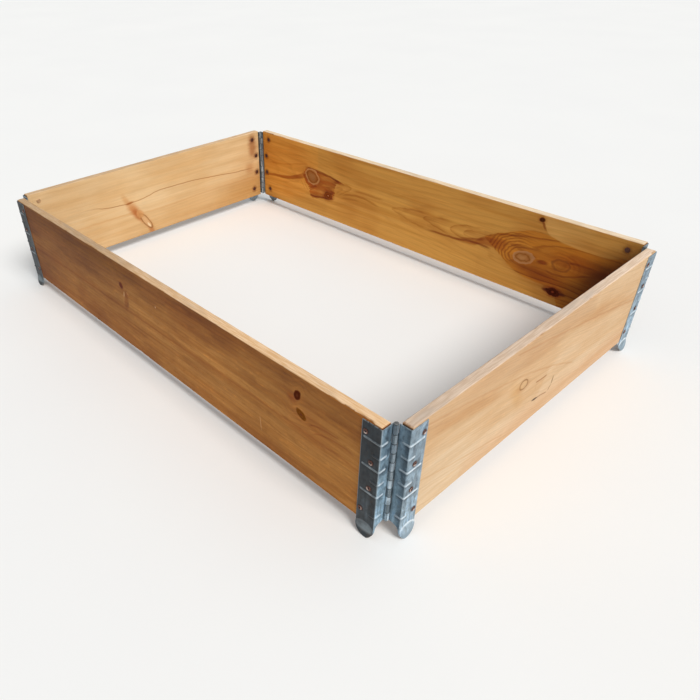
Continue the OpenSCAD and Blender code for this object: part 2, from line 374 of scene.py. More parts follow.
    # growth rings cut to a pointed tip: a line that the wood darkens towards slowly from inside the tip
    if w.get("tips"):
        sway = g.m("MULTIPLY_ADD", g.m("SUBTRACT", g.noise(g.stretch(ab, (0.04, 0.03, 0), seed + 41), 2.0), 0.5), 7.0, b)
        uneven = g.step(g.noise(g.stretch(ab, (0.024, 0.05, 0), seed + 43), 2.0), 0.32, 0.62, 0.40, 1.0)
    for s in w.get("tips", []):
        away = g.m("ABSOLUTE", g.m("SUBTRACT", sway, g.curve(a, [(x, m_) for x, m_, _ in s["path"]])))
        away = g.m("SUBTRACT", away, g.curve(a, [(x, h_) for x, _, h_ in s["path"]]))
        f = g.ramp(g.m("MULTIPLY_ADD", away, 1.0 / 14.0, 10.0 / 14.0), [(0.0, 0.0), (0.34, 0.22), (0.62, 0.62), (0.74, 1.0), (0.84, 0.55), (0.97, 0.0)], "EASE")
        x0, x1 = s["path"][0][0], s["path"][-1][0]
        f = g.m("MULTIPLY", f, g.m("MULTIPLY", g.step(a, x0 - 2, x0 + s["fade"][0]), g.step(a, x1 + 2, x1 - s["fade"][1])))
        f = g.m("MULTIPLY", f, uneven)
        col = g.mix(g.m("MULTIPLY", f, s["amount"]), col, g.mix(1.0, col, s["tint"], "MULTIPLY"))

    # knots
    relief = None
    for i, k in enumerate(w["knots"]):
        if "body" not in k:
            continue
        p = g.place(ab, k["at"], k.get("turn", 0), k["size"])
        q = g.m("SQRT", g.v("DOT_PRODUCT", p, p))
        jag = g.noise(g.stretch(ab, (0.11, 0.11, 0), seed + i * 2.7), 3.0, 0.55)
        q = g.m("MULTIPLY_ADD", g.m("SUBTRACT", jag, 0.5), k.get("rough", 0.35), q)
        slow = g.noise(g.stretch(ab, (0.045, 0.06, 0), seed + i * 1.9 + 30), 1.0)
        q = g.m("MULTIPLY_ADD", g.m("SUBTRACT", slow, 0.5), k.get("warp", 0.6), q)
        if k.get("halo"):
            f = g.step(q, k.get("halo_size", 2.2), 0.9, 0.0, k["halo"])
            col = g.mix(f, col, g.mix(1.0, col, k["halo_tint"], "MULTIPLY"))
        if "arcs" in k:
            r_ = k["arcs"]
            p2 = g.place(ab, r_.get("at", k["at"]), r_.get("turn", 0), r_["size"])
            q2 = g.m("SQRT", g.v("DOT_PRODUCT", p2, p2))
            px, py, _ = g.sep(p2)
            side = g.m("DIVIDE", g.m("MULTIPLY_ADD", px, r_["toward"][0], g.m("MULTIPLY", py, r_["toward"][1])), g.m("MAXIMUM", q2, 0.01))
            q3 = g.m("MULTIPLY_ADD", g.m("SUBTRACT", g.noise(g.stretch(ab, (0.035, 0.05, 0), seed + i), 2.0), 0.5), 0.5, q2)
            f = g.ramp(g.m("FRACT", g.m("MULTIPLY", q3, r_["count"])), [(0.0, 0.0), (0.30, 0.05), (0.62, 1.0), (0.85, 0.55), (1.0, 0.0)], "EASE")
            f = g.m("MULTIPLY", f, g.m("MULTIPLY", g.step(side, r_.get("from", -0.1), r_.get("full", 0.6)), g.m("MULTIPLY", g.step(q2, r_["reach"], r_["reach"] * 0.72), g.step(q2, 0.85, 1.05))))
            if r_.get("gate") in gates:
                f = g.m("MULTIPLY", f, gates[r_["gate"]])
            col = g.mix(g.m("MULTIPLY", f, r_.get("amount", 0.6)), col, g.mix(1.0, col, r_["tint"], "MULTIPLY"))
        rings =g.ramp(g.m("FRACT", g.m("MULTIPLY", q, k.get("rings", 3.0))), [(0.0, 0.0), (0.40, 0.25), (0.75, 1.0), (0.92, 0.5), (1.0, 0.0)], "EASE")
        kc = g.mix(rings, k["body"], k["dark"])
        if "core" in k:
            kc = g.mix(g.step(q, k.get("core_size", 0.35), k.get("core_size", 0.35) * 0.4), kc, k["core"])
        inside = g.step(q, 1.04, 0.90, 0.0, k.get("amount", 1.0))
        col = g.mix(inside, col, kc)
        rim = g.m("MULTIPLY", g.step(q, k.get("rim_from", 0.78), 0.95), g.step(q, k.get("rim_to", 1.16), 0.99))
        col = g.mix(g.m("MULTIPLY", rim, k.get("rim_amount", 0.8)), col, k["rim"])
        relief = inside if relief is None else g.m("MAXIMUM", relief, inside)

    # short marks: scratches, dashes, spots
    for s in w.get("marks", []):
        p = g.place(ab, s["at"], s.get("turn", 0), s["size"])
        q = g.m("SQRT", g.v("DOT_PRODUCT", p, p))
        q = g.m("MULTIPLY_ADD", g.m("SUBTRACT", g.noise(g.stretch(ab, (0.2, 0.2, 0), seed + s["at"][1] * 0.1), 2.0), 0.5), s.get("rough", 0.5), q)
        col = g.mix(g.step(q, 1.1, 0.6, 0.0, s.get("amount", 0.8)), col, s["colour"])

    # dark halo of iron stain round each rivet
    u = g.m("SUBTRACT", w["pin_at"], g.m("ABSOLUTE", a))
    ub = g.comb(u, b, 0.0)
    near = None
    for ru, rz in ((31.0, 25.0), (18.0, 75.7), (18.0, 126.4), (31.0, 177.1)):
        d = g.v("DISTANCE", ub, (ru, rz, 0.0))
        near = d if near is None else g.m("MINIMUM", near, d)
    near = g.m("MULTIPLY_ADD", g.m("SUBTRACT", g.noise(g.stretch(ab, (0.06, 0.20, 0), seed + 4), 2.0), 0.5), 9.0, near)
    iron = g.step(near, 14.0, 5.0, 0.0, w.get("rivet_stain", 0.55))
    if "stain_from" in w:
        iron = g.m("MULTIPLY", iron, g.step(a, w["stain_from"] - 20.0, w["stain_from"] + 20.0))
    col = g.mix(iron, col, g.mix(1.0, col, lin(150, 105, 75), "MULTIPLY"))

    # value: fibres and hairs
    val = g.m("MULTIPLY_ADD", g.m("SUBTRACT", fine, 0.5), w.get("fibre", 0.26), 1.0)
    val = g.m("MULTIPLY_ADD", g.m("SUBTRACT", hair, 0.5), w.get("hair", 0.18), val)
    strand = g.noise(g.stretch(g.comb(a, c, b1), (0.006, 0.28, 0.28), seed + 17), 3.0, 0.62)
    val = g.m("MULTIPLY_ADD", g.m("SUBTRACT", strand, 0.5), w.get("strand", 0.35), val)
    col = g.v("SCALE", col, s=val)

    # sawn top and bottom edges: paler, greyer, rougher; end grain: darker, and where a plank's end_tint is very dark
    # that is painted shade too
    saw = g.noise(g.stretch(g.mm, (0.028, 0.5, 0.9), seed + 2), 3.0, 0.6)
    top = g.step(b, 196.3, 197.5)
    topcol = g.mix(g.step(saw, 0.35, 0.65), w["top"], w["top_dark"])
    blot = g.noise(g.stretch(g.mm, (0.011, 0.05, 0.05), seed + 7), 2.0, 0.6)
    topcol = g.mix(g.step(blot, 0.52, 0.72, 0.0, w.get("top_grey_amount", 0.45)), topcol, w["top_grey"])
    if "top_along" in w:
        topcol = g.v("SCALE", topcol, s=g.curve(a, w["top_along"]))
    col = g.mix(g.m("MULTIPLY", top, 0.86), col, topcol)
    low = g.step(b, 1.6, 0.4)
    col = g.mix(g.m("MULTIPLY", low, 0.8), col, g.mix(1.0, col, lin(205, 195, 185), "MULTIPLY"))
    end = g.step(g.m("ABSOLUTE", a), w["length"] / 2 - 1.0, w["length"] / 2 - 0.3)
    col = g.mix(g.m("MULTIPLY", end, 0.75), col, g.mix(1.0, col, w.get("end_tint", lin(190, 160, 130)), "MULTIPLY"))

    # worn and broken edges
    worn = g.attr("worn")
    wn = g.noise(g.stretch(g.mm, (0.05, 0.35, 0.35), seed + 12), 3.0, 0.6)
    col = g.mix(g.m("MULTIPLY", worn, g.step(wn, 0.30, 0.62)), col, w["chip"])

    g.put(g.bsdf.inputs["Base Color"], col)
    rough = g.m("MULTIPLY_ADD", fine, 0.16, 0.52)
    g.put(g.bsdf.inputs["Roughness"], rough)
    g.bsdf.inputs["Specular IOR Level"].default_value = 0.14
    if relief is not None:
        g.put(g.bsdf.inputs["Specular IOR Level"], g.m("MULTIPLY_ADD", relief, -0.12, 0.14))
    h = g.m("MULTIPLY_ADD", late, 0.55, g.m("MULTIPLY", fine, 0.7))
    h = g.m("MULTIPLY_ADD", hair, 0.35, h)
    h = g.m("MULTIPLY_ADD", g.m("MULTIPLY", top, saw), 1.6, h)
    if relief is not None:
        h = g.m("MULTIPLY_ADD", relief, 0.8, h)
    g.bump(h, 0.45, 0.0005)
    return g.mat


def plank(name, node, body, w, axis, outward):
    """One plank as a fine grid, with rounded, dented and broken edges. axis: its world axis; outward: sign of its outer face's direction."""
    lo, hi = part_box(node)
    lo, hi = np.array(lo) / MM, np.array(hi) / MM
    along, across = (0, 1) if axis == "x" else (1, 0)
    L, T, H = hi[along] - lo[along], hi[across] - lo[across], hi[2] - lo[2]
    y_dir = np.zeros(3)
    y_dir[across] = outward
    z_dir = np.array([0, 0, 1.0])
    x_dir = np.cross(y_dir, z_dir)
    inner = lo[across] if outward > 0 else hi[across]
    origin = np.zeros(3)
    origin[across] = inner
    origin[along] = (lo[along] + hi[along]) / 2
    origin[2] = lo[2]
    M = Matrix.Identity(4)
    for i in range(3):
        M[i][0], M[i][1], M[i][2], M[i][3] = x_dir[i], y_dir[i], z_dir[i], origin[i] * MM

    r = 1.9
    half = T / 2
    arc = [math.radians(t) for t in (0, 18, 36, 54, 72, 90)]
    pts = [(c, 0.0) for c in (half, half * 0.72, half * 0.46, r + 0.6)]
    pts += [(r - r * math.sin(t), r - r * math.cos(t)) for t in arc]
    face = [r + 0.5, r + 1.5, r + 3.0, r + 5.0, r + 7.5]
    n_mid = int((H - 2 * face[-1]) / 3.8)
    mid = np.linspace(face[-1], H - face[-1], n_mid + 1)[1:-1].tolist()
    pts += [(0.0, z) for z in face + mid + [H - z for z in reversed(face)]]
    pts += [(r - r * math.cos(t), H - r + r * math.sin(t)) for t in arc]
    pts += [(c, H) for c in (r + 0.6, half * 0.46, half * 0.72, half)]
    side = np.array(pts)
    n = len(side)
    loop = np.vstack([side, np.column_stack([T - side[-2:0:-1, 0], side[-2:0:-1, 1]])])
    m = len(loop)

    k = int(L / 3.0)
    st = np.linspace(-L / 2 + 0.9, L / 2 - 0.9, k + 1)
    a = np.concatenate([[-L / 2, -L / 2 + 0.35], st, [L / 2 - 0.35, L / 2]])
    shrink = np.zeros(len(a))
    shrink[0] = shrink[-1] = 0.8
    shrink[1] = shrink[-2] = 0.28
    A = np.repeat(a[:, None], m, 1)
    C = np.repeat(loop[None, :, 0], len(a), 0)
    B = np.repeat(loop[None, :, 1], len(a), 0)
    C = half + (C - half) * (1 - shrink[:, None] / half)
    B = H / 2 + (B - H / 2) * (1 - shrink[:, None] / (H / 2))

    sd = w["seed"]
    # planing waves and a little cup on the two wide faces
    wide = smooth(B, 4, 14) * smooth(H - B, 4, 14)
    on_face = np.where((C < 0.6) | (C > T - 0.6), 1.0, 0.0) * wide
    sign = np.where(C < half, -1.0, 1.0)
    wave = 0.22 * noise2(A / 47.0, B / 31.0, sd) + 0.10 * noise2(A / 13.0, B / 17.0, sd + 5)
    for kn in w["knots"]:
        if "body" not in kn:
            continue
        th = math.radians(kn.get("turn", 0))
        dx, dz = A - kn["at"][0], B - kn["at"][1]
        p = (dx * math.cos(th) + dz * math.sin(th)) / kn["size"][0]
        q = (-dx * math.sin(th) + dz * math.cos(th)) / kn["size"][1]
        wave += kn.get("raise", 0.22) * np.exp(-((p * p + q * q) ** 1.5))
    C = C + sign * on_face * wave

    # the four long edges: general wear, dents, and broken stretches
    worn = np.zeros_like(C)
    rng = np.random.default_rng(4100 + sd)
    for e, (ce, be) in enumerate(((0, 0), (0, 1), (1, 0), (1, 1))):
        w_edge = 0.86 + 0.40 * np.clip(noise1(a / 31.0, sd + 11 * e) + 0.10, 0, 1) + 0.16 * np.clip(noise1(a / 7.0, sd + 7 * e), 0, 1)
        mark = np.zeros_like(a)
        for _ in range(int(L / 110)):
            x0, wd, dp = rng.uniform(-L / 2, L / 2), rng.uniform(1.5, 6.0), rng.uniform(0.2, 0.95) ** 1.6
            bumpy = np.exp(-(((a - x0) / wd) ** 2))
            w_edge = w_edge + dp * bumpy
            mark = mark + 0.35 * dp * bumpy
        for ch in w.get("broken", []):
            if ch["edge"] == (ce, be):
                f = smooth(a, ch["from"], ch["from"] + ch.get("ease", 6)) * smooth(-a, -ch["to"], -ch["to"] + ch.get("ease", 6))
                w_edge = w_edge + f * (ch["depth"] + ch.get("rough", 0.8) * (noise1(a / 4.0, sd + 31) + noise1(a / 11.0, sd + 32)))
                mark = np.maximum(mark, f * ch.get("stain", 1.0))
        nc, nb = (1 if ce else -1), (1 if be else -1)
        t = (nc * (C - (T if ce else 0)) + nb * (B - (H if be else 0))) / math.sqrt(2)
        skew = 0.35 * noise2(A / 5.0, (nc * C - nb * B) / 3.0, sd + 40 + e)
        over = np.clip(t + w_edge[:, None] + np.where(w_edge[:, None] > 1.5, skew, 0), 0, None)
        C = C - nc * over / math.sqrt(2)
        B = B - nb * over / math.sqrt(2)
        worn = np.maximum(worn, np.clip(over * 0.7, 0, 1) * np.clip(mark, 0, 1)[:, None])
    # ends whose upper edge is broken off
    for ch in w.get("end_broken", []):
        t = (ch["end"] * A - L / 2 + B - H) / math.sqrt(2)
        over = np.clip(t + ch["depth"] + ch.get("rough", 0.8) * noise2(C / 4.0, A / 3.0, sd + 61), 0, None)
        A = A - ch["end"] * over / math.sqrt(2)
        B = B - over / math.sqrt(2)
        worn = np.maximum(worn, np.clip(over * 0.7, 0, 1) * ch.get("stain", 1.0))

    C = np.clip(C, 0.0 - 0.3, T + 0.3)
    verts = np.stack([A, C, B], -1).reshape(-1, 3)
    faces = []
    for i in range(len(a) - 1):
        for j in range(m):
            j2 = (j + 1) % m
            faces.append((i * m + j, i * m + j2, (i + 1) * m + j2, (i + 1) * m + j))
    for i, flip in ((0, False), (len(a) - 1, True)):
        base = i * m
        inner_ids = [base + j for j in range(n)]
        outer_ids = [base] + [base + m - j for j in range(1, n - 1)] + [base + n - 1]
        for j in range(n - 1):
            q = [inner_ids[j], outer_ids[j], outer_ids[j + 1], inner_ids[j + 1]]
            q = [x for t, x in enumerate(q) if x not in q[:t]]
            faces.append(tuple(reversed(q)) if flip else tuple(q))
    w["length"], w["pin_at"] = float(L), float(L / 2 + 4.6) if axis == "x" else float(L / 2 + 6.0)
    return make(name, verts, faces, body, [node], wood("wood_" + name, w), M, 48, {"worn": worn.reshape(-1)})


# ---------------------------------------------------------------- hinge leaves
SHEET = 1.5
END_U, FACE_V, REACH = 2.6, 24.5, 38.0
BEND_U, BEND_V, BEND_R = 4.6, 22.5, 2.0
EDGE_V = 3.45
LEAF_TOP = 195.0
SLOTS, SLOT_0 = 11, 5.0
SLOT_H = (LEAF_TOP - SLOT_0) / SLOTS
RIVETS = ((31.0, 25.0), (18.0, 75.7), (18.0, 126.4), (31.0, 177.1))
BEADS = ((66.5, 32.0, 12.5), (117.0, 32.0, 12.5), (167.5, 32.0, 12.5), (91.75, 14.5, 12.5), (142.25, 14.5, 12.5), (23.5, 13.0, 13.5))
S_BEND = REACH - BEND_U
S_END = S_BEND + BEND_R * math.pi / 2
S_EDGE = S_END + (BEND_V - EDGE_V)
S_CURL = S_END + BEND_V
CURL_R = 2.57


def sheet_path():
    """Stations along the unrolled sheet, from the flange's free edge to the end of the knuckle's curl: s, u, v and the outward direction."""
    rows = []
    for s in np.linspace(0, S_BEND, 36)[:-1]:
        rows.append((s, REACH - s, FACE_V, 0.0, 1.0))
    for t in np.linspace(0, 1, 9)[:-1]:
        th = math.pi / 2 * (1 + t)
        rows.append((S_BEND + t * (S_END - S_BEND), BEND_U + BEND_R * math.cos(th), BEND_V + BEND_R * math.sin(th), math.cos(th), math.sin(th)))
    for v in np.linspace(BEND_V, EDGE_V, 18):
        rows.append((S_END + BEND_V - v, END_U, v, -1.0, 0.0))
    edge = len(rows) - 1
    for v in np.linspace(EDGE_V, 0, 5)[1:-1]:
        rows.append((S_END + BEND_V - v, END_U - 0.03 * (1 - v / EDGE_V), v, -1.0, 0.0))
    for th in np.radians(np.linspace(0, -296, 27)):
        rows.append((S_CURL - CURL_R * th, CURL_R * math.cos(th), CURL_R * math.sin(th), -math.cos(th), -math.sin(th)))
    return np.array(rows), edge


def lower_edge(path):
    """Height of the sheet's lower edge at each station: the arch between the leaves, and the foot that hangs below the plank."""
    s, u, v = path[:, 0], path[:, 1], path[:, 2]
    round_ = 2.5 - np.sqrt(np.clip(27.5**2 - (u - 13.5) ** 2, 0, None))
    heel = np.where(u < 22.5, -7.24 - np.sqrt(np.clip(20.0**2 - (u - 22.5) ** 2, 0, None)), -99.0)
    foot = np.maximum(round_, heel)
    arch = -46.25 + np.sqrt(np.clip(51.25**2 - np.clip(v, EDGE_V, None) ** 2, 0, None))
    at_bend = -7.24 - math.sqrt(20.0**2 - (END_U - 22.5) ** 2)
    drop = (-46.25 + math.sqrt(51.25**2 - BEND_V**2)) - at_bend
    flange = arch - drop * np.exp(-np.clip(BEND_V - v, 0, None) / 1.5)
    return np.where(s <= S_END + 1e-6, foot, flange)


def leaf(name, node, body, material, corner, turn, first, mirrored, seed):
    """One pressed leaf: outer flange with foot, bend, end flange, and every second knuckle curled round the pin."""
    path, edge = sheet_path()
    zlow = lower_edge(path)
    z_marks = [12.0]
    for k in range(1, SLOTS):
        z_marks += [SLOT_0 + k * SLOT_H - 0.25, SLOT_0 + k * SLOT_H + 0.25]
    z_marks.append(LEAF_TOP)
    upper = [12.0]
    for z0, z1 in zip(z_marks[:-1], z_marks[1:]):
        if z1 - z0 < 1:
            upper.append(z1)
            continue
        z = z0
        while z1 - z > 1.0:
            near = min(abs(z - q[0]) for q in BEADS)
            z += 0.62 if near < 3.6 else 1.25
            if z < z1 - 0.4:
                upper.append(z)
        upper.append(z1)
    upper = np.array(upper)
    low_n = 30
    ns, nz = len(path), low_n + len(upper)
    Z = np.zeros((ns, nz))
    for i in range(ns):
        Z[i, :low_n] = zlow[i] + (12.0 - zlow[i]) * np.arange(low_n) / low_n
        Z[i, low_n:] = upper
    S = np.repeat(path[:, :1], nz, 1)
    U, V = np.repeat(path[:, 1:2], nz, 1), np.repeat(path[:, 2:3], nz, 1)
    NU, NV = np.repeat(path[:, 3:4], nz, 1), np.repeat(path[:, 4:5], nz, 1)

    bead, under, minor, below = np.zeros_like(Z), np.zeros_like(Z), np.zeros_like(Z), np.zeros_like(Z)
    for zb, ru, rv in BEADS:
        sa, sb = REACH - ru, S_END + BEND_V - rv
        d = np.hypot(np.clip(np.maximum(sa - S, S - sb), 0, None), Z - zb)
        # below: where the painted shade under each bead goes
        below = np.maximum(below, (1 - smooth(np.maximum(sa - S, S - sb), 0, 3)) * smooth(zb - Z, 1.4, 3.0) * (1 - smooth(zb - Z, 3.0, 10.0)))
        t = np.clip(1 - d / 3.1, 0, 1)
        t = t * t * (3 - 2 * t)
        under = np.where(t > bead, np.clip((Z - zb) / 3.1, -1, 1), under)
        minor = np.where(t > bead, 1.0 if ru < 20 else 0.0, minor)
        bead = np.maximum(bead, t)
    dish = np.sqrt(np.clip(60.0**2 - (U - 20.0) ** 2 - (Z + 20.0) ** 2, 0, None)) - 55.0
    dish = np.where(S <= S_END + 1e-6, 0.5 * (dish + np.sqrt(dish * dish + 0.15)), 0) * smooth(U, END_U - 0.2, 7.5)
    flat = (1 - smooth(S, S_EDGE - 6, S_EDGE - 1))
    ripple = 0.16 * noise2(S / 9.0, Z / 14.0, seed) + 0.10 * noise2(S / 4.0, Z / 5.0, seed + 3)
    ripple = ripple * flat * smooth(REACH - U, 0.5, 3) * (1 - smooth(dish, 0.3, 3.0))
    out = bead * 1.2 + dish * 0.975 + ripple

    P = np.stack([U + NU * out, V + NV * out, Z], -1)
    Q = np.stack([U + NU * (out - SHEET), V + NV * (out - SHEET), Z], -1)

    # which grid squares exist: the curl only in this leaf's own slots
    zc = 0.5 * (Z[:, :-1] + Z[:, 1:])
    have = np.zeros((ns - 1, nz - 1), bool)
    have[:edge, :] = True
    slot = np.floor((zc - SLOT_0) / SLOT_H).astype(int)
    slot = np.clip(slot, 0, SLOTS - 1)
    inside = np.abs((zc - SLOT_0) / SLOT_H - slot - 0.5) < 0.5 - 0.2 / SLOT_H
    own = (slot % 2 == first) & (inside | (zc < SLOT_0 + 1) | (zc > LEAF_TOP - 1))
    have[edge:, :] = own[edge:-1, :] if own.shape[0] == ns else own[edge:, :]

    idx = lambda i, j: i * nz + j
    off = ns * nz
    faces = []
    for i in range(ns - 1):
        for j in range(nz - 1):
            if not have[i, j]:
                continue
            faces.append((idx(i, j), idx(i + 1, j), idx(i + 1, j + 1), idx(i, j + 1)))
            faces.append((off + idx(i, j), off + idx(i, j + 1), off + idx(i + 1, j + 1), off + idx(i + 1, j)))
            for (p, q), (di, dj) in (
                ((idx(i, j), idx(i + 1, j)), (0, -1)),
                ((idx(i + 1, j), idx(i + 1, j + 1)), (1, 0)),
                ((idx(i + 1, j + 1), idx(i, j + 1)), (0, 1)),
                ((idx(i, j + 1), idx(i, j)), (-1, 0)),
            ):
                ii, jj = i + di, j + dj
                if not (0 <= ii < ns - 1 and 0 <= jj < nz - 1 and have[ii, jj]):
                    faces.append((q, p, off + p, off + q))
    allp = np.vstack([P.reshape(-1, 3), Q.reshape(-1, 3)])

    # fields for the finish, its painted highlights and its painted shade
    free = np.minimum(np.minimum(Z - zlow[:, None], LEAF_TOP - Z), S)
    rivet = np.full_like(Z, 40.0)
    for ru, rz in RIVETS:
        rivet = np.minimum(rivet, np.where(S < S_END, np.hypot(U - ru, Z - rz), 40.0))
    fold = smooth(S, S_BEND, S_END)
    curl = smooth(S, S_EDGE - 0.5, S_CURL)
    fields = {
        "bead": np.tile(bead.reshape(-1), 2),
        "free": np.tile(np.clip(free, 0, 20).reshape(-1), 2),
        "rivet": np.tile(rivet.reshape(-1), 2),
        "fold": np.tile(fold.reshape(-1), 2),
        "curl": np.tile(curl.reshape(-1), 2),
        "height": np.tile(Z.reshape(-1), 2),
        "under": np.tile(under.reshape(-1), 2),
        "below": np.tile(below.reshape(-1), 2),
        # nook: where the painted shade of the crease beside the knuckles goes
        "nook": np.tile(np.exp(-(((S - S_EDGE) / 1.5) ** 2)).reshape(-1), 2),
        "inward": np.tile(np.clip(S - S_END, 0, 40).reshape(-1), 2),
        "minor": np.tile(minor.reshape(-1), 2),
        "slot": np.tile(np.abs(((Z - SLOT_0) / SLOT_H + 0.5) % 1.0 - 0.5).reshape(-1) * SLOT_H, 2),
        "dish": np.tile(np.clip(dish / 5.0, 0, 1).reshape(-1), 2),
    }
    used = np.unique(np.array([x for f in faces for x in f]))
    remap = np.full(len(allp), -1)
    remap[used] = np.arange(len(used))
    faces = [tuple(int(remap[x]) for x in f) for f in faces]
    allp = allp[used]
    fields = {k: v[used] for k, v in fields.items()}
    world = to_world(allp, corner, turn, mirrored)
    if mirrored:
        faces = [tuple(reversed(f)) for f in faces]
    return make(name, world, faces, body, [node], material, None, 42, fields)


def to_world(p, corner, turn, mirrored):
    """Leaf coordinates (u along the plank from the pin, v from inside to outside, z from the plank's lower edge) to the frame."""
    x, y = (p[:, 0], p[:, 1]) if not mirrored else (-p[:, 1], -p[:, 0])
    c, s = math.cos(math.radians(turn)), math.sin(math.radians(turn))
    return np.stack([corner[0] + c * x - s * y, corner[1] + s * x + c * y, p[:, 2] + 25.0], -1)


def lathe(profile, n):
    """A turned shape from (radius, height) points that start and end on the axis: points with the axis along Z, and faces."""
    verts, faces, ring = [], [], []
    for r, h in profile:
        if r < 1e-6:
            ring.append([len(verts)])
            verts.append((0.0, 0.0, h))
        else:
            ring.append(list(range(len(verts), len(verts) + n)))
            verts += [(r * math.cos(2 * math.pi * k / n), r * math.sin(2 * math.pi * k / n), h) for k in range(n)]
    for p, q in zip(ring[:-1], ring[1:]):
        for k in range(n):
            k2 = (k + 1) % n
            if len(p) == 1:
                faces.append((p[0], q[k2], q[k]))
            elif len(q) == 1:
                faces.append((p[k], p[k2], q[0]))
            else:
                faces.append((p[k], p[k2], q[k2], q[k]))
    return np.array(verts), faces


def zinc(name, seed, flange, end, spread, crest, end_crest, foot, tip_tint, fade, dull, shade):
    """Galvanised sheet: crystal spangle, dull patina, rubbed edges, a little rust in the corners and at the rivets;
    painted highlights on the beads, the fold, the knuckles and the dish, and painted shade under the beads, beside the
    fold, between the knuckles and at the dish's tip.
    crest and end_crest: how bright the beads' painted highlight, partly rubbing, is on the outer and on the end flange;
    foot and tip_tint: colours of the dish's painted highlight on its upper part and of its tip, painted shade where
    dark; fade: how far the short beads are lost on the outer flange; dull: how much the top darkens;
    shade: how dark the painted shade on the end flange is beside the fold."""
    g = Graph(name)
    co = g.stretch(g.mm, (1, 1, 1), seed)
    warp = g.noise(g.stretch(co, (0.12, 0.12, 0.09)), 3.0, 0.6)
    cellv = g.v("ADD", g.stretch(co, (0.16, 0.16, 0.11)), g.comb(g.m("MULTIPLY", warp, 1.3), 0.0, g.m("MULTIPLY", warp, -0.9)))
    cell = g.cells(cellv)
    tone = g.sep(cell.outputs["Color"])[0]
    fine = g.noise(g.stretch(co, (0.9, 0.9, 0.55)), 4.0, 0.65)
    cloud = g.noise(g.stretch(co, (0.050, 0.050, 0.030), 2.0), 3.0, 0.6)
    patch = g.noise(g.stretch(co, (0.085, 0.085, 0.055), 7.0), 4.0, 0.66)
    drip = g.noise(g.stretch(co, (0.22, 0.22, 0.012), 5.0), 3.0, 0.6)
    val = g.m("MULTIPLY_ADD", g.m("SUBTRACT", tone, 0.5), 0.36 * spread, 1.0)
    val = g.m("MULTIPLY_ADD", g.m("SUBTRACT", fine, 0.5), 0.70 * spread, val)
    val = g.m("MULTIPLY_ADD", g.m("SUBTRACT", cloud, 0.5), 1.30 * spread, val)
    val = g.m("MULTIPLY_ADD", g.m("SUBTRACT", drip, 0.5), 0.36 * spread, val)
    fold, bead, under = g.attr("fold"), g.attr("bead"), g.attr("under")
    base = g.mix(fold, flange, end)
    col = g.v("SCALE", base, s=val)
    col = g.mix(g.step(patch, 0.50, 0.66, 0.0, 0.62), col, g.mix(1.0, col, lin(158, 170, 186), "MULTIPLY"))
    col = g.mix(g.step(patch, 0.42, 0.30, 0.0, 0.45), col, g.mix(1.0, col, lin(300, 306, 312), "MULTIPLY"))
    # knuckles are rubbed paler, and their bright patches are also painted highlights
    curl = g.attr("curl")
    col = g.mix(g.m("MULTIPLY", curl, 0.78), col, g.mix(g.step(g.m("MULTIPLY_ADD", fine, 0.30, drip), 0.52, 0.78), lin(98, 108, 114), lin(186, 197, 204)))
    # painted shade in the crease where the end flange meets the knuckles
    col = g.mix(g.m("MULTIPLY", g.attr("nook"), 0.60), col, lin(30, 34, 38))
    # painted shade: the end flange is darkest beside the fold
    fold_shade = g.m("MULTIPLY", g.m("MULTIPLY", g.step(g.attr("inward"), 11.0, 2.0), g.step(fold, 0.8, 1.0)), g.step(cloud, 0.36, 0.62, shade * 0.5, shade))
    col = g.mix(fold_shade, col, g.mix(1.0, col, lin(150, 160, 168), "MULTIPLY"))
    # painted shade in the gaps between the knuckles
    knuckle_gap_shade = g.m("MULTIPLY", g.step(g.attr("slot"), 1.5, 0.4), g.step(curl, 0.2, 0.8))
    col = g.mix(g.m("MULTIPLY", knuckle_gap_shade, g.step(cloud, 0.36, 0.60, 0.30, 0.70)), col, lin(44, 47, 50))
    # paler low down, where the sheet is scoured; darker towards the top
    high = g.attr("height")
    scour = g.m("MULTIPLY", g.step(high, 105.0, 20.0), g.step(g.m("MULTIPLY_ADD", drip, 0.5, patch), 0.66, 0.92))
    col = g.mix(g.m("MULTIPLY", scour, 0.42), col, g.mix(1.0, col, lin(400, 404, 408), "MULTIPLY"))
    col = g.mix(g.step(high, 55.0, 165.0, 0.0, dull), col, g.mix(1.0, col, lin(196, 200, 206), "MULTIPLY"))
    # beads: a painted highlight on the upper side and crest in places, standing also for rubbing; painted shade along
    # the lower side and below each bead
    worn = g.noise(g.stretch(co, (0.055, 0.055, 0.13), 11.0), 3.0, 0.6)
    share = g.m("MULTIPLY_ADD", fold, end_crest - crest, crest)
    faint = g.m("MULTIPLY", g.attr("minor"), g.m("SUBTRACT", 1.0, fold))
    share = g.m("MULTIPLY", share, g.m("MULTIPLY_ADD", faint, -fade, 1.0))
    # painted shade below each bead
    col = g.mix(g.m("MULTIPLY", g.attr("below"), g.m("MULTIPLY", g.step(worn, 0.30, 0.60, 0.25, 0.62), g.m("MULTIPLY_ADD", faint, -fade, 1.0))), col, g.mix(1.0, col, lin(150, 156, 162), "MULTIPLY"))
    rub_and_highlight = g.m("MULTIPLY", g.step(bead, 0.03, 0.55), g.step(under, -0.72, -0.12))
    rub_and_highlight = g.m("MULTIPLY", rub_and_highlight, g.step(g.m("MULTIPLY_ADD", fine, 0.35, worn), 0.46, 0.84, 0.22, 1.0))
    col = g.mix(g.m("MULTIPLY", rub_and_highlight, share), col, lin(226, 238, 246))
    # painted shade along each bead's lower side
    bead_underside_shade = g.m("MULTIPLY", g.step(bead, 0.02, 0.30), g.step(under, -0.45, -0.85))
    col = g.mix(g.m("MULTIPLY", bead_underside_shade, 0.50), col, lin(40, 45, 50))
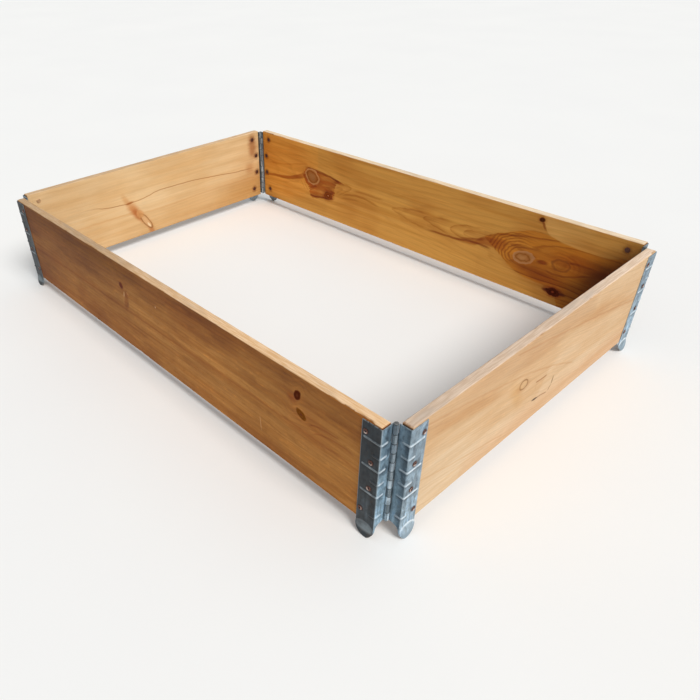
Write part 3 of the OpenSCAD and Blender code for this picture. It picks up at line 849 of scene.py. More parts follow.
    # the fold is rubbed and painted as a highlight, and the free edges are rubbed
    bend = g.m("MULTIPLY", g.m("MULTIPLY", fold, g.m("SUBTRACT", 1.0, fold)), 4.0)
    col = g.mix(g.m("MULTIPLY", bend, g.step(drip, 0.38, 0.60, 0.08, 0.42)), col, lin(186, 198, 206))
    rim = g.m("MULTIPLY", g.step(g.attr("free"), 1.1, 0.2), g.step(drip, 0.35, 0.55))
    col = g.mix(g.m("MULTIPLY", rim, 0.45), col, lin(170, 180, 186))
    # the dish of the foot: a painted highlight along its upper edge and on its upper part, and its lower part towards
    # the tip in tip_tint, dark as painted shade on the front long leaves
    dish = g.attr("dish")
    crease = g.m("MULTIPLY", g.m("MULTIPLY", g.step(dish, 0.02, 0.12), g.step(dish, 0.42, 0.18)), g.step(high, -14.0, -3.0))
    col = g.mix(g.m("MULTIPLY", crease, g.step(g.m("MULTIPLY_ADD", fine, 0.4, worn), 0.46, 0.80, 0.30 * crest, crest * crest)), col, lin(232, 242, 248))
    shine = g.m("MULTIPLY", g.m("MULTIPLY", g.step(dish, 0.10, 0.50), g.step(high, -17.0, -9.0)), g.step(g.m("MULTIPLY_ADD", fine, 0.25, cloud), 0.42, 0.78, 0.35, 1.0))
    col = g.mix(g.m("MULTIPLY", shine, 0.66), col, foot)
    tip = g.m("MULTIPLY", g.m("MULTIPLY", g.step(dish, 0.10, 0.50), g.step(high, -9.0, -18.0)), g.step(g.m("MULTIPLY_ADD", fine, 0.25, cloud), 0.38, 0.70, 0.55, 1.0))
    col = g.mix(tip, col, tip_tint)
    # stain round the rivets, rust low on the foot
    ring = g.step(g.m("MULTIPLY_ADD", g.m("SUBTRACT", fine, 0.5), 3.0, g.attr("rivet")), 7.6, 4.2)
    col = g.mix(g.m("MULTIPLY", ring, 0.66), col, lin(48, 34, 30))
    low = g.m("MULTIPLY", g.step(high, 6.0, -22.0), g.step(cloud, 0.50, 0.70))
    col = g.mix(g.m("MULTIPLY", low, 0.30), col, lin(104, 88, 76))
    g.put(g.bsdf.inputs["Base Color"], col)
    g.bsdf.inputs["Metallic"].default_value = 0.45
    g.bsdf.inputs["Specular IOR Level"].default_value = 0.35
    ro = g.m("MULTIPLY_ADD", tone, 0.14, 0.36)
    ro = g.m("MULTIPLY_ADD", fine, 0.16, ro)
    g.put(g.bsdf.inputs["Roughness"], ro)
    h = g.m("MULTIPLY_ADD", tone, 0.25, g.m("MULTIPLY", fine, 0.6))
    g.bump(h, 0.25, 0.0004)
    return g.mat


def rivet_steel(name, seed, brown=lin(98, 48, 32), black=lin(54, 28, 22)):
    """Tubular rivet: browned steel, with the rolled lip rubbed bright and the hole painted dark, as rust and as shade.
    """
    g = Graph(name)
    co = g.stretch(g.mm, (1, 1, 1), seed)
    n = g.noise(g.stretch(co, (0.7, 0.7, 0.7)), 4.0, 0.65)
    big = g.noise(g.stretch(co, (0.05, 0.05, 0.05)), 2.0)
    rust = g.mix(g.step(n, 0.35, 0.65), brown, black)
    steel = g.mix(g.step(n, 0.3, 0.7), lin(226, 206, 196), lin(168, 140, 128))
    lip = g.m("MULTIPLY", g.attr("lip"), g.step(g.m("ADD", n, g.m("MULTIPLY", big, 0.6)), 0.52, 0.80))
    col = g.mix(lip, rust, steel)
    # painted shade and rust: dark inside the hole
    col = g.mix(g.attr("deep"), col, lin(40, 20, 14))
    g.put(g.bsdf.inputs["Base Color"], col)
    g.bsdf.inputs["Metallic"].default_value = 0.5
    g.put(g.bsdf.inputs["Roughness"], g.m("MULTIPLY_ADD", n, 0.3, 0.36))
    g.bump(n, 0.3, 0.0003)
    return g.mat


def pin_steel(name):
    """Hinge pin: dull plated wire with bruised, rust-ringed heads."""
    g = Graph(name)
    n = g.noise(g.stretch(g.mm, (0.8, 0.8, 0.25), 4.0), 4.0, 0.6)
    big = g.noise(g.stretch(g.mm, (0.06, 0.06, 0.03), 8.0), 2.0)
    col = g.mix(g.step(n, 0.32, 0.68), lin(150, 156, 158), lin(96, 100, 102))
    col = g.mix(g.step(big, 0.52, 0.70, 0.0, 0.6), col, lin(98, 70, 54))
    g.put(g.bsdf.inputs["Base Color"], col)
    g.bsdf.inputs["Metallic"].default_value = 0.6
    g.put(g.bsdf.inputs["Roughness"], g.m("MULTIPLY_ADD", n, 0.25, 0.32))
    g.bump(n, 0.25, 0.0003)
    return g.mat


# ---------------------------------------------------------------- the planks
REAR = dict(
    seed=11, wander=20.0, wobble=0.7, ring=9.0, contrast=0.24, pith_b=99.0,
    pith_c=[(-572, 40), (-430, 58), (-300, 74), (-130, 82), (0, 74), (120, 64), (235, 55), (340, 46), (460, 36), (572, 30)],
    early=lin(214, 155, 73), late=lin(168, 102, 36), streak=lin(240, 230, 212), cloud_tint=lin(228, 208, 182), cloud=0.6,
    top=lin(246, 230, 206), top_dark=lin(226, 200, 164), top_grey=lin(190, 176, 158), chip=lin(118, 70, 34), fibre=0.24, hair=0.16,
    knots=[
        dict(at=(-355, 109), size=(28, 21), push=1.0, reach=1.7, body=lin(166, 101, 48), dark=lin(140, 80, 36), core=lin(164, 109, 62), core_size=0.62, rings=2.4,
             rim=lin(204, 148, 92), rim_from=0.78, rim_to=1.14, rim_amount=0.72, halo=0.55, halo_size=1.7, halo_tint=lin(200, 148, 100), rough=0.28, warp=0.5, turn=-10),
        dict(at=(-289, 69), size=(15, 10.5), push=0.6, reach=2.0, body=lin(140, 70, 26), dark=lin(112, 50, 18), core=lin(206, 140, 98), core_size=0.30, rim=lin(104, 50, 18), rim_amount=0.6, rings=1.5,
             halo=0.6, halo_tint=lin(196, 138, 92), rough=0.6),
        dict(at=(334, 88), size=(26, 14), push=1.0, reach=1.8, body=lin(178, 115, 60), dark=lin(150, 91, 43), core=lin(190, 133, 79), core_size=0.60, rings=2.7,
             rim=lin(200, 146, 98), rim_from=0.70, rim_to=1.16, rim_amount=0.66, halo=0.35, halo_size=1.8, halo_tint=lin(272, 264, 254), rough=0.34, warp=0.6, turn=11,
             arcs=dict(size=(30, 20), toward=(-0.90, 0.44), count=3.2, reach=3.7, tint=lin(192, 158, 122), amount=0.80, full=0.80, gate="heart")),
        dict(at=(423, 98), size=(22, 14), turn=7, push=0.9, reach=1.7, body=lin(172, 100, 44), dark=lin(138, 78, 32), rings=1.5, amount=0.30,
             rim=lin(112, 58, 24), rim_from=0.72, rim_to=1.16, rim_amount=0.46, rough=0.30, warp=0.6,
             arcs=dict(size=(24, 15), toward=(0.5, 0.87), count=2.0, reach=2.6, tint=lin(206, 176, 146), amount=0.40, full=0.9, gate="heart")),
        dict(at=(421, 32), size=(16, 9.5), push=0.9, reach=2.0, body=lin(82, 32, 18), dark=lin(58, 20, 10), core=lin(136, 62, 36), core_size=0.28, rim=lin(70, 28, 14), rim_amount=0.6, rings=1.6,
             halo=0.8, halo_size=1.9, halo_tint=lin(196, 122, 76), rough=0.75),
        dict(at=(359, 186), size=(7, 5.2), push=0.8, reach=2.0, body=lin(92, 46, 20), dark=lin(66, 30, 12), rim=lin(120, 68, 32), rings=1.6, halo=0.5, halo_tint=lin(206, 152, 108)),
        dict(at=(-120, 99), size=(40, 14), push=0.45, reach=2.0),
    ],
    zones=[
        dict(top=[(222, 96), (230, 108), (276, 130), (316, 146), (363, 158), (383, 156), (432, 148), (473, 146), (506, 147), (546, 155), (572, 158)],
             bottom=[(222, 118), (230, 106), (249, 92), (282, 72), (308, 54), (342, 44), (373, 40), (397, 40), (418, 34), (434, 8), (448, -24), (572, -30)],
             tint=lin(253, 225, 148), amount=0.9, soft=2.4, rough=6.0, ragged=3.0, ragged_a=9.0, vary=0.16, grain=0.75, gate="heart", seed=3),
        dict(top=[(135, 79), (170, 80), (204, 88), (232, 106), (300, 112)], bottom=[(135, 74), (171, 73), (204, 76), (232, 86), (300, 84)], along=[(128, 0.0), (160, 0.7), (230, 1.0), (290, 0.0)],
             tint=lin(204, 152, 102), amount=0.75, soft=3.0, rough=6.0, ragged=3.0, seed=5),
        dict(top=[(366, 214), (572, 216)], bottom=[(366, 181), (372, 169), (389, 156), (432, 149), (473, 147), (506, 148), (546, 156), (572, 159)], along=[(360, 0.0), (372, 1.0), (430, 0.75), (500, 0.25), (572, 0.15)],
             tint=lin(285, 306, 362), amount=0.9, soft=1.6, rough=3.0, ragged=1.6, ragged_a=6.0, seed=6),
        dict(top=[(-572, 74), (-526, 79), (-463, 87), (-423, 99), (-388, 115)], bottom=[(-572, 64), (-526, 71), (-464, 76), (-423, 86), (-388, 98)], along=[(-572, 0.7), (-430, 1.0), (-384, 0.3)],
             tint=lin(186, 134, 82), amount=0.82, soft=2.4, rough=3.0, ragged=2.0, seed=7),
        dict(top=[(-393, 92), (-388, 115), (-376, 127), (-357, 132), (-320, 130), (-277, 126), (-234, 118), (-228, 110)],
             bottom=[(-393, 116), (-384, 90), (-369, 74), (-361, 50), (-319, 54), (-275, 63), (-266, 86), (-260, 110), (-234, 116), (-228, 122)],
             tint=lin(214, 158, 100), amount=0.9, soft=2.6, rough=14.0, ragged=12.0, ragged_a=34.0, vary=0.50, grain=0.7, seed=9),
        dict(top=[(-572, 230), (-300, 231)], bottom=[(-572, 20), (-440, 24), (-300, 140)], along=[(-572, 0.8), (-400, 0.8), (-330, 0.0)], tint=lin(288, 271, 244), amount=0.6, soft=14.0, rough=16.0, seed=12),
        # painted shadow: the right end darkened low down and most at the end, where the right plank shades this face
        dict(top=[(420, 30), (470, 100), (520, 150), (572, 186)], bottom=[(420, -60), (572, -61)], along=[(360, 0.0), (410, 0.25), (460, 0.64), (510, 1.0), (572, 1.0)], tint=lin(124, 106, 102), amount=1.0, soft=44.0, seed=8),
        dict(top=[(-330, 120), (230, 120)], bottom=[(-330, 90), (230, 91)], along=[(-330, 0.0), (-270, 0.6), (-180, 0.9), (0, 0.85), (100, 1.0), (190, 0.8), (228, 0.0)], tint=lin(280, 292, 298), amount=0.8, soft=14.0, rough=8.0, seed=14),
        dict(top=[(-300, 74), (-100, 76), (100, 64), (200, 58)], bottom=[(-300, -40), (200, -41)], along=[(-300, 0.0), (-160, 1.0), (100, 1.0), (220, 0.0)], tint=lin(268, 271, 275), amount=0.75, soft=20.0, rough=18.0, seed=13),
    ],
    stains=[
        dict(at=(-330, 129), size=(46, 4.2), tint=lin(178, 122, 76), amount=0.8, soft=0.45, rough=0.7, turn=-4),
        dict(at=(-258, 121), size=(24, 2.8), tint=lin(164, 106, 62), amount=0.8, soft=0.45, rough=0.5, turn=-9),
        dict(at=(381, 92), size=(13, 5), tint=lin(176, 116, 72), amount=0.85, soft=0.5, turn=8),
        dict(at=(365, 177), size=(3.2, 11), tint=lin(178, 124, 82), amount=0.75, soft=0.5, turn=33),
        dict(at=(404, 31), size=(9, 3.4), tint=lin(150, 88, 56), amount=0.8, soft=0.5, rough=0.6),
        dict(at=(441, 33), size=(10, 3.2), tint=lin(150, 88, 56), amount=0.8, soft=0.5, rough=0.6),
        dict(at=(470, 112), size=(60, 20), tint=lin(222, 178, 134), amount=0.6, soft=0.7, rough=1.0),
        dict(at=(385, 60), size=(74, 22), tint=lin(190, 154, 122), amount=0.9, soft=0.8, rough=0.7, turn=-8),
    ],
    lines=[
        # the lines between the two groups of tips
        dict(path=[(-237, 83), (-200, 94), (-165, 97), (-129, 93), (-94, 87)], width=4.6, tint=lin(208, 174, 120), amount=0.64, jitter=3.0, fade=(20.0, 26.0)),
        dict(path=[(-197, 106), (-152, 110), (-109, 110), (-80, 111)], width=4.2, tint=lin(212, 180, 130), amount=0.56, jitter=3.0, fade=(24.0, 22.0)),
        dict(path=[(-246, 73), (-204, 81), (-164, 85)], width=4.2, tint=lin(216, 186, 142), amount=0.45, jitter=3.0, fade=22.0),
        # the dark line into the heartwood
        dict(path=[(52, 71), (86, 74), (123, 75), (158, 77), (192, 82), (226, 83), (253, 80)], width=4.0, tint=lin(178, 126, 76), amount=0.76, jitter=2.8, fade=(40.0, 16.0)),
        dict(path=[(151, 78), (191, 88), (233, 99)], width=5.0, tint=lin(184, 132, 82), amount=0.66, jitter=2.8, fade=(24.0, 12.0)),
        # the swirl right of the big knot
        dict(path=[(388, 80), (403, 74), (424, 74), (452, 81), (483, 93), (520, 100)], width=3.6, tint=lin(190, 148, 108), amount=0.58, jitter=2.0, fade=(12.0, 44.0)),
        dict(path=[(438, 109), (470, 113), (510, 112)], width=3.6, tint=lin(190, 148, 108), amount=0.52, jitter=2.0, fade=(8.0, 34.0)),
        dict(path=[(-540, 112), (-470, 120), (-420, 132), (-372, 142)], width=3.4, tint=lin(224, 186, 140), amount=0.4, jitter=3.0),
        dict(path=[(-366, 54), (-340, 53), (-319, 56), (-290, 60), (-268, 65)], width=4.2, tint=lin(178, 118, 74), amount=0.75, jitter=4.0, fade=8.0),
        dict(path=[(-392, 92), (-382, 76), (-370, 62)], width=2.6, tint=lin(206, 160, 108), amount=0.5, jitter=3.0, fade=6.0),
        dict(path=[(-408, 96), (-396, 78), (-384, 62)], width=2.4, tint=lin(214, 170, 118), amount=0.45, jitter=3.0, fade=6.0),
    ],
    tips=[
        # right of the small knot, pointing right: along, middle, half width
        dict(path=[(-252, 94, 16), (-244, 97.5, 14.5), (-220, 107, 9.8), (-200, 111.5, 0.5)], tint=lin(210, 176, 126), amount=0.66, fade=(16.0, 2.0)),
        dict(path=[(-258, 93, 8.5), (-247, 97, 6), (-240, 99.4, 3.6), (-232, 101.5, 0.5)], tint=lin(212, 180, 132), amount=0.55, fade=(8.0, 2.0)),
        # left of the heartwood, pointing left
        dict(path=[(-54, 96.5, 0.5), (-29, 97, 7), (-14, 96.5, 10.5), (13, 94.5, 15.5), (48, 94.6, 19.6), (84, 97, 22)], tint=lin(206, 168, 114), amount=0.70, fade=(3.0, 46.0)),
        dict(path=[(49, 100, 0.5), (63, 100.7, 5.3), (84, 100.5, 10.5), (113, 98.7, 15.2), (146, 98, 19)], tint=lin(204, 166, 112), amount=0.70, fade=(3.0, 40.0)),
        dict(path=[(132, 96.5, 0.5), (146, 98.5, 9.5), (164, 99.5, 14.5), (192, 102, 17), (228, 106, 18)], tint=lin(200, 158, 106), amount=0.74, fade=(3.0, 34.0)),
        dict(path=[(171, 96.5, 0.5), (188, 100, 7), (215, 103, 10), (236, 105, 11)], tint=lin(200, 158, 106), amount=0.70, fade=(3.0, 22.0)),
    ],
    marks=[],
    broken=[
        {"edge": (0, 1), "from": -575, "to": -520, "depth": 1.3, "rough": 0.8, "stain": 0.9},
        {"edge": (0, 1), "from": -520, "to": -440, "depth": 0.5, "rough": 0.7, "stain": 0.5},
        {"edge": (1, 1), "from": 120, "to": 190, "depth": 0.6, "rough": 0.6, "stain": 0.5},
    ],
)

LEFT = dict(
    seed=23, wander=12.0, wobble=0.6, ring=9.0, contrast=0.13, pith_b=-90.0, pith_c=60.0, slant=0.0, strand=0.24, stain_from=0.0,
    early=lin(224, 192, 147), late=lin(198, 153, 97), streak=lin(250, 245, 237), cloud_tint=lin(243, 228, 205), cloud=0.45, grime=0.16,
    top=lin(216, 184, 148), top_dark=lin(180, 146, 110), top_grey=lin(146, 130, 112), chip=lin(130, 88, 52), fibre=0.18, hair=0.14,
    top_along=[(-371, 1.0), (0, 0.97), (150, 1.05), (300, 1.15), (371, 1.2)],
    knots=[
        dict(at=(-58, 39), size=(8.8, 30), push=0.25, reach=1.1, turn=32, body=lin(212, 168, 120), dark=lin(198, 150, 102), rings=0.9,
             rim=lin(132, 84, 42), rim_from=0.72, rim_to=1.16, rim_amount=0.72, halo=0.40, halo_size=1.7, halo_tint=lin(228, 182, 136), rough=0.24, warp=0.25),
    ],
    zones=[
        dict(top=[(-371, 230), (371, 231)], bottom=[(-371, 115), (-300, 115), (-224, 118), (-127, 104), (-96, 102), (-36, 107), (4, 113), (101, 111), (149, 108), (217, 102), (274, 96), (371, 92)],
             tint=lin(254, 251, 246), amount=0.7, soft=2.2, rough=1.5, seed=2),
        # painted shade: darker low down, most towards the rear corner
        dict(top=[(-371, 50), (-75, 62), (150, 66), (371, 84)], bottom=[(-371, -90), (371, -91)], along=[(-371, 0.1), (-190, 0.15), (-120, 0.4), (0, 0.42), (150, 0.55), (225, 0.8), (300, 1.0), (371, 1.0)],
             tint=lin(222, 198, 160), amount=0.95, soft=40.0, rough=8.0, seed=3),
    ],
    stains=[
        dict(at=(-91, 80), size=(12, 27), turn=33, tint=lin(224, 170, 118), amount=0.75, soft=0.7, rough=0.7),
        dict(at=(-80, 60), size=(9, 24), turn=33, tint=lin(212, 154, 104), amount=0.65, soft=0.6, rough=0.6),
        dict(at=(-45, 6), size=(7, 12), turn=28, tint=lin(216, 162, 114), amount=0.6, soft=0.7, rough=0.5),
        dict(at=(-100, 102), size=(11, 3.2), turn=8, tint=lin(198, 152, 92), amount=0.7, soft=0.5, rough=0.5),
        dict(at=(-112, 114), size=(7, 16), turn=24, tint=lin(232, 194, 150), amount=0.45, soft=0.7),
        dict(at=(345, 158), size=(14, 34), tint=lin(188, 142, 110), amount=0.75, soft=0.7, rough=1.1),
        dict(at=(330, 96), size=(14, 16), tint=lin(214, 172, 138), amount=0.45, soft=0.7, rough=1.1),
        dict(at=(-330, 60), size=(40, 50), tint=lin(236, 214, 184), amount=0.45, soft=0.7),
    ],
    lines=[
        dict(path=[(-262, 116.4), (-224, 116.6), (-180, 109), (-127, 103.2), (-96, 102), (-36, 107), (4, 113), (101, 111.5), (149, 108), (217, 102), (274, 95.6), (360, 92)],
             width=2.1, tint=lin(190, 148, 98), amount=0.7, jitter=2.2, fade=(110.0, 60.0)),
        dict(path=[(-371, 70), (-150, 74), (-20, 62), (200, 66), (371, 58)], width=4.0, tint=lin(238, 212, 178), amount=0.35, jitter=4.0),
    ],
    marks=[
        dict(at=(-74, 64), size=(12, 15), turn=33, colour=lin(204, 148, 92), amount=0.72, rough=0.6),
        dict(at=(-50, 25), size=(3.4, 10), turn=32, colour=lin(238, 212, 172), amount=0.75, rough=0.4),
    ],
    broken=[{"edge": (0, 1), "from": -150, "to": -110, "depth": 0.4, "rough": 0.6, "stain": 0.4}],
)

FRONT = dict(
    seed=37, wander=12.0, wobble=0.6, ring=9.0, contrast=0.34, pith_b=-160.0, pith_c=-30.0, slant=0.0,
    # the early and late colours are a darker plank, darkened further as painted shade
    early=lin(178, 122, 58), late=lin(132, 80, 30), streak=lin(236, 224, 204), cloud_tint=lin(218, 198, 170), cloud=0.8, grime=0.55, scuff=0.5,
    top=lin(240, 208, 170), top_dark=lin(218, 176, 128), top_grey=lin(192, 170, 146), chip=lin(132, 80, 38), fibre=0.40, hair=0.24,
    top_along=[(-572, 1.09), (-400, 1.03), (-250, 1.05), (-100, 0.95), (50, 0.86), (200, 0.72), (350, 0.73), (572, 0.66)],
    knots=[
        dict(at=(-409.5, 160), size=(10.4, 7.0), turn=-66, push=0.9, reach=2.6, body=lin(88, 35, 4), dark=lin(73, 25, 2), core=lin(92, 42, 18), core_size=0.40, rings=1.2,
             rim=lin(104, 50, 18), rim_from=0.84, rim_to=1.14, rim_amount=0.55, halo=0.45, halo_size=2.4, halo_tint=lin(282, 278, 270), rough=0.35, warp=0.35),
        dict(at=(-418, 127), size=(12.6, 7.3), turn=30, push=0.5, reach=1.6, body=lin(128, 74, 14), dark=lin(108, 58, 10), core=lin(104, 48, 28), core_size=0.36, rings=1.2,
             rim=lin(122, 70, 20), rim_from=0.84, rim_to=1.14, rim_amount=0.55, halo=0.55, halo_size=2.0, halo_tint=lin(288, 286, 282), rough=0.35, warp=0.3),
        dict(at=(-450, 104), size=(26, 14), push=0.55, reach=1.6),
        dict(at=(106, 146), size=(6, 6), push=0.9, reach=2.6, body=lin(118, 62, 44), dark=lin(80, 38, 26), rings=1.6, rim=lin(66, 30, 20), rim_amount=0.6, halo=0.5, halo_tint=lin(206, 150, 110)),
        dict(at=(83, 136), size=(6, 4), push=0.5, reach=2.0, body=lin(190, 132, 78), dark=lin(140, 88, 46), rings=1.6, rim=lin(112, 66, 36), rim_amount=0.6),
    ],
    zones=[
        # painted shade: darker towards the top and towards the front-left corner; painted light: paler towards the
        # bottom
        dict(top=[(-572, 230), (572, 231)], bottom=[(-572, 150), (-300, 146), (0, 138), (300, 128), (572, 120)], tint=lin(214, 200, 182), amount=0.7, soft=34.0, rough=30.0, seed=2),
        dict(top=[(-572, 60), (0, 54), (572, 34)], bottom=[(-572, -40), (572, -41)], tint=lin(268, 264, 252), amount=0.6, soft=26.0, rough=24.0, seed=3),
        dict(top=[(60, 240), (572, 242)], bottom=[(60, -40), (572, -42)], along=[(60, 0.0), (340, 0.58), (440, 0.75), (500, 1.1), (572, 1.25)], tint=lin(214, 200, 180), amount=0.75, soft=5.0, seed=4),
        dict(top=[(0, 260), (572, 261)], bottom=[(0, 168), (572, 160)], along=[(20, 0.0), (100, 1.0), (572, 1.0)], tint=lin(224, 213, 128), amount=0.9, soft=16.0, rough=10.0, seed=5),
    ],
    stains=[
        dict(at=(94, 116), size=(7, 24), turn=18, tint=lin(206, 162, 120), amount=0.6, soft=0.6),
        dict(at=(-398, 149), size=(9, 8), tint=lin(228, 170, 96), amount=0.6, soft=0.8),
        dict(at=(-440, 110), size=(50, 34), tint=lin(236, 210, 176), amount=0.5, soft=0.7),
        dict(at=(260, 150), size=(130, 38), tint=lin(206, 190, 170), amount=0.6, soft=0.8, rough=1.4),
        dict(at=(-150, 138), size=(120, 42), tint=lin(274, 276, 278), amount=0.8, soft=0.8, rough=1.2),
        dict(at=(430, 60), size=(90, 40), tint=lin(222, 206, 186), amount=0.5, soft=0.8, rough=1.4),
        dict(at=(130, 66), size=(130, 22), tint=lin(226, 210, 186), amount=0.5, soft=0.8, rough=1.4),
    ],
    lines=[
        dict(path=[(-500, 128), (-480, 127), (-450, 123), (-431, 108)], width=2.6, tint=lin(206, 164, 122), amount=0.55, jitter=2.0),
        dict(path=[(-530, 116), (-490, 118), (-460, 112), (-440, 98)], width=2.6, tint=lin(210, 170, 128), amount=0.5, jitter=2.0),
        dict(path=[(-572, 92), (-300, 96), (0, 92), (300, 90), (572, 86)], width=3.6, tint=lin(220, 188, 150), amount=0.45, jitter=5.0),
    ],
    marks=[
        dict(at=(-318, 47), size=(1.1, 18), turn=-4, colour=lin(214, 170, 120), amount=0.45),
        dict(at=(-20, 148), size=(2.2, 2.4), colour=lin(214, 168, 118), amount=0.8),
        dict(at=(100, 128), size=(1.5, 8), turn=16, colour=lin(222, 178, 126), amount=0.7),
        dict(at=(91, 108), size=(1.4, 11), turn=20, colour=lin(96, 56, 30), amount=0.7),
    ],
    broken=[
        {"edge": (1, 1), "from": -560, "to": -500, "depth": 1.1, "rough": 0.7, "stain": 1.0},
        {"edge": (1, 1), "from": -500, "to": -470, "depth": 0.5, "rough": 0.6, "stain": 0.7},
        {"edge": (1, 1), "from": 180, "to": 236, "depth": 0.4, "rough": 0.6, "stain": 0.5},
        {"edge": (0, 1), "from": 430, "to": 556, "depth": 0.5, "rough": 0.8, "stain": 0.7},
    ],
)

RIGHT = dict(
    seed=53, wander=12.0, wobble=0.6, ring=5.4, contrast=0.25, pith_b=-130.0, pith_c=-50.0, slant=0.20,
    early=lin(216, 189, 155), late=lin(186, 144, 100), streak=lin(249, 243, 235), cloud_tint=lin(244, 230, 214), cloud=0.4, scuff=0.16,
    top=lin(208, 188, 170), top_dark=lin(186, 162, 140), top_grey=lin(172, 164, 156), chip=lin(124, 76, 44), fibre=0.24, hair=0.18,
    # end_tint: the ends painted very dark, as end grain and as painted shade where the plank ends meet the leaves
    top_along=[(-371, 1.42), (-300, 1.36), (-150, 1.26), (0, 1.16), (150, 1.18), (300, 1.10), (371, 1.08)], end_tint=lin(84, 56, 42),
    knots=[
        dict(at=(69, 108), size=(12.8, 9.8), turn=22, push=0.8, reach=2.0, body=lin(206, 172, 130), dark=lin(194, 156, 112), rings=0.8, amount=0.6,
             rim=lin(136, 94, 52), rim_from=0.70, rim_to=1.20, rim_amount=0.75, halo=0.35, halo_tint=lin(226, 196, 158), rough=0.30, warp=0.25),
        dict(at=(-16, 61), size=(31, 25), push=0.30, reach=1.5),
    ],
    zones=[
        dict(top=[(-371, 230), (371, 231)], bottom=[(-371, 40), (-170, 69), (-116, 97), (-55, 111), (0, 60), (19, 46), (153, 72), (296, 109), (371, 122)],
             tint=lin(242, 226, 204), amount=0.5, soft=13.0, rough=14.0, ragged=4.0, seed=2),
        dict(top=[(-371, 52), (-170, 74), (-116, 84), (-48, 92), (20, 60)], bottom=[(-371, 30), (-170, 58), (-116, 72), (-48, 82), (20, 56)], along=[(-371, 0.7), (-48, 1.0), (10, 0.0)],
             tint=lin(253, 249, 243), amount=0.5, soft=4.0, rough=5.0, seed=4),
        # painted shade: the upper part darkened, except near the rear end
        dict(top=[(-371, 260), (371, 261)], bottom=[(-371, 170), (-100, 160), (80, 146), (160, 164), (371, 170)], along=[(-150, 0.0), (-75, 0.9), (80, 0.9), (160, 0.7), (371, 0.6)],
             tint=lin(239, 228, 219), amount=0.95, soft=18.0, rough=10.0, seed=5),
        dict(top=[(-371, 40), (371, 41)], bottom=[(-371, -90), (371, -91)], along=[(-371, 1.0), (150, 0.8), (230, 0.0)], tint=lin(251, 238, 229), amount=0.9, soft=22.0, rough=10.0, seed=6),
    ],
    stains=[
        dict(at=(88, 98), size=(12, 34), turn=-33, tint=lin(242, 218, 166), amount=0.45, soft=0.9),
        dict(at=(250, 150), size=(110, 14), turn=11, tint=lin(232, 206, 172), amount=0.55, soft=0.6),
        dict(at=(-200, 140), size=(120, 16), turn=10, tint=lin(232, 206, 172), amount=0.5, soft=0.6),
    ],
    lines=[
        dict(path=[(-371, 96), (-200, 132), (-60, 158), (120, 190)], width=3.0, tint=lin(230, 198, 162), amount=0.4, jitter=4.0),
        dict(path=[(-120, 60), (40, 120), (200, 158), (371, 188)], width=3.0, tint=lin(230, 198, 162), amount=0.35, jitter=4.0),
        dict(path=[(100, 20), (220, 46), (371, 84)], width=2.6, tint=lin(232, 204, 170), amount=0.35, jitter=4.0),
        dict(path=[(-15, 85), (4, 86), (25, 89)], width=2.8, tint=lin(188, 148, 100), amount=0.75, jitter=1.4, fade=5.0),
        dict(path=[(-32, 38), (-7, 43), (14, 46)], width=1.8, tint=lin(168, 126, 80), amount=0.75, jitter=1.2, fade=5.0),
    ],
    marks=[
        dict(at=(12, 45.5), size=(11, 2.7), turn=8, colour=lin(66, 48, 32), amount=0.94, rough=0.5),
        dict(at=(-43.5, 60), size=(2.3, 10), turn=2, colour=lin(134, 98, 58), amount=0.85, rough=0.6),
        dict(at=(-39, 45), size=(1.9, 8), turn=34, colour=lin(146, 106, 64), amount=0.8, rough=0.6),
        dict(at=(20, 77), size=(1.8, 9), turn=-6, colour=lin(188, 148, 102), amount=0.45, rough=0.7),
    ],
    end_broken=[{"end": 1, "depth": 1.9, "rough": 1.6, "stain": 0.9}],
    broken=[
        {"edge": (1, 1), "from": -373, "to": -350, "depth": 1.6, "rough": 0.8, "stain": 0.6},
        {"edge": (1, 1), "from": 30, "to": 70, "depth": 0.4, "rough": 0.5, "stain": 0.4},
    ],
)

plank("plank_front", "front_long_board", "front_side", FRONT, "x", -1)
plank("plank_rear", "rear_long_board", "rear_side", REAR, "x", 1)
plank("plank_left", "left_short_board", "left_side", LEFT, "y", -1)
plank("plank_right", "right_short_board", "right_side", RIGHT, "y", 1)

# ---------------------------------------------------------------- the hinges
CORNERS = {
    "front_right": ((577.0, -377.0), 180, "long"),
    "rear_right": ((577.0, 377.0), 270, "short"),
    "rear_left": ((-577.0, 377.0), 0, "long"),
    "front_left": ((-577.0, -377.0), 90, "short"),
}
LONG_BODY = {"front_right": "front_side", "front_left": "front_side", "rear_right": "rear_side", "rear_left": "rear_side"}
SHORT_BODY = {"front_right": "right_side", "rear_right": "right_side", "rear_left": "left_side", "front_left": "left_side"}

RIVET = [(0, 4.0), (1.6, 3.9), (3.0, 3.95), (4.3, 4.15), (5.1, 4.45), (5.55, 4.8), (5.6, 5.15), (2.9, 5.3), (2.9, 24.2), (4.15, 24.3), (4.32, 24.6), (4.2, 25.0),
         (3.85, 25.4), (3.3, 25.7), (2.75, 25.78), (2.25, 25.62), (1.9, 25.2), (1.7, 24.6), (1.6, 23.6), (1.5, 15.0), (0, 14.6)]
PIN = [(0, 3.6), (2.2, 3.62), (3.1, 3.8), (3.45, 4.15), (3.4, 4.5), (2.9, 4.68), (2.5, 4.72), (2.5, 195.2), (2.9, 195.25), (3.45, 195.4), (3.62, 195.7), (3.5, 196.1), (3.0, 196.4), (1.8, 196.5), (0, 196.45)]

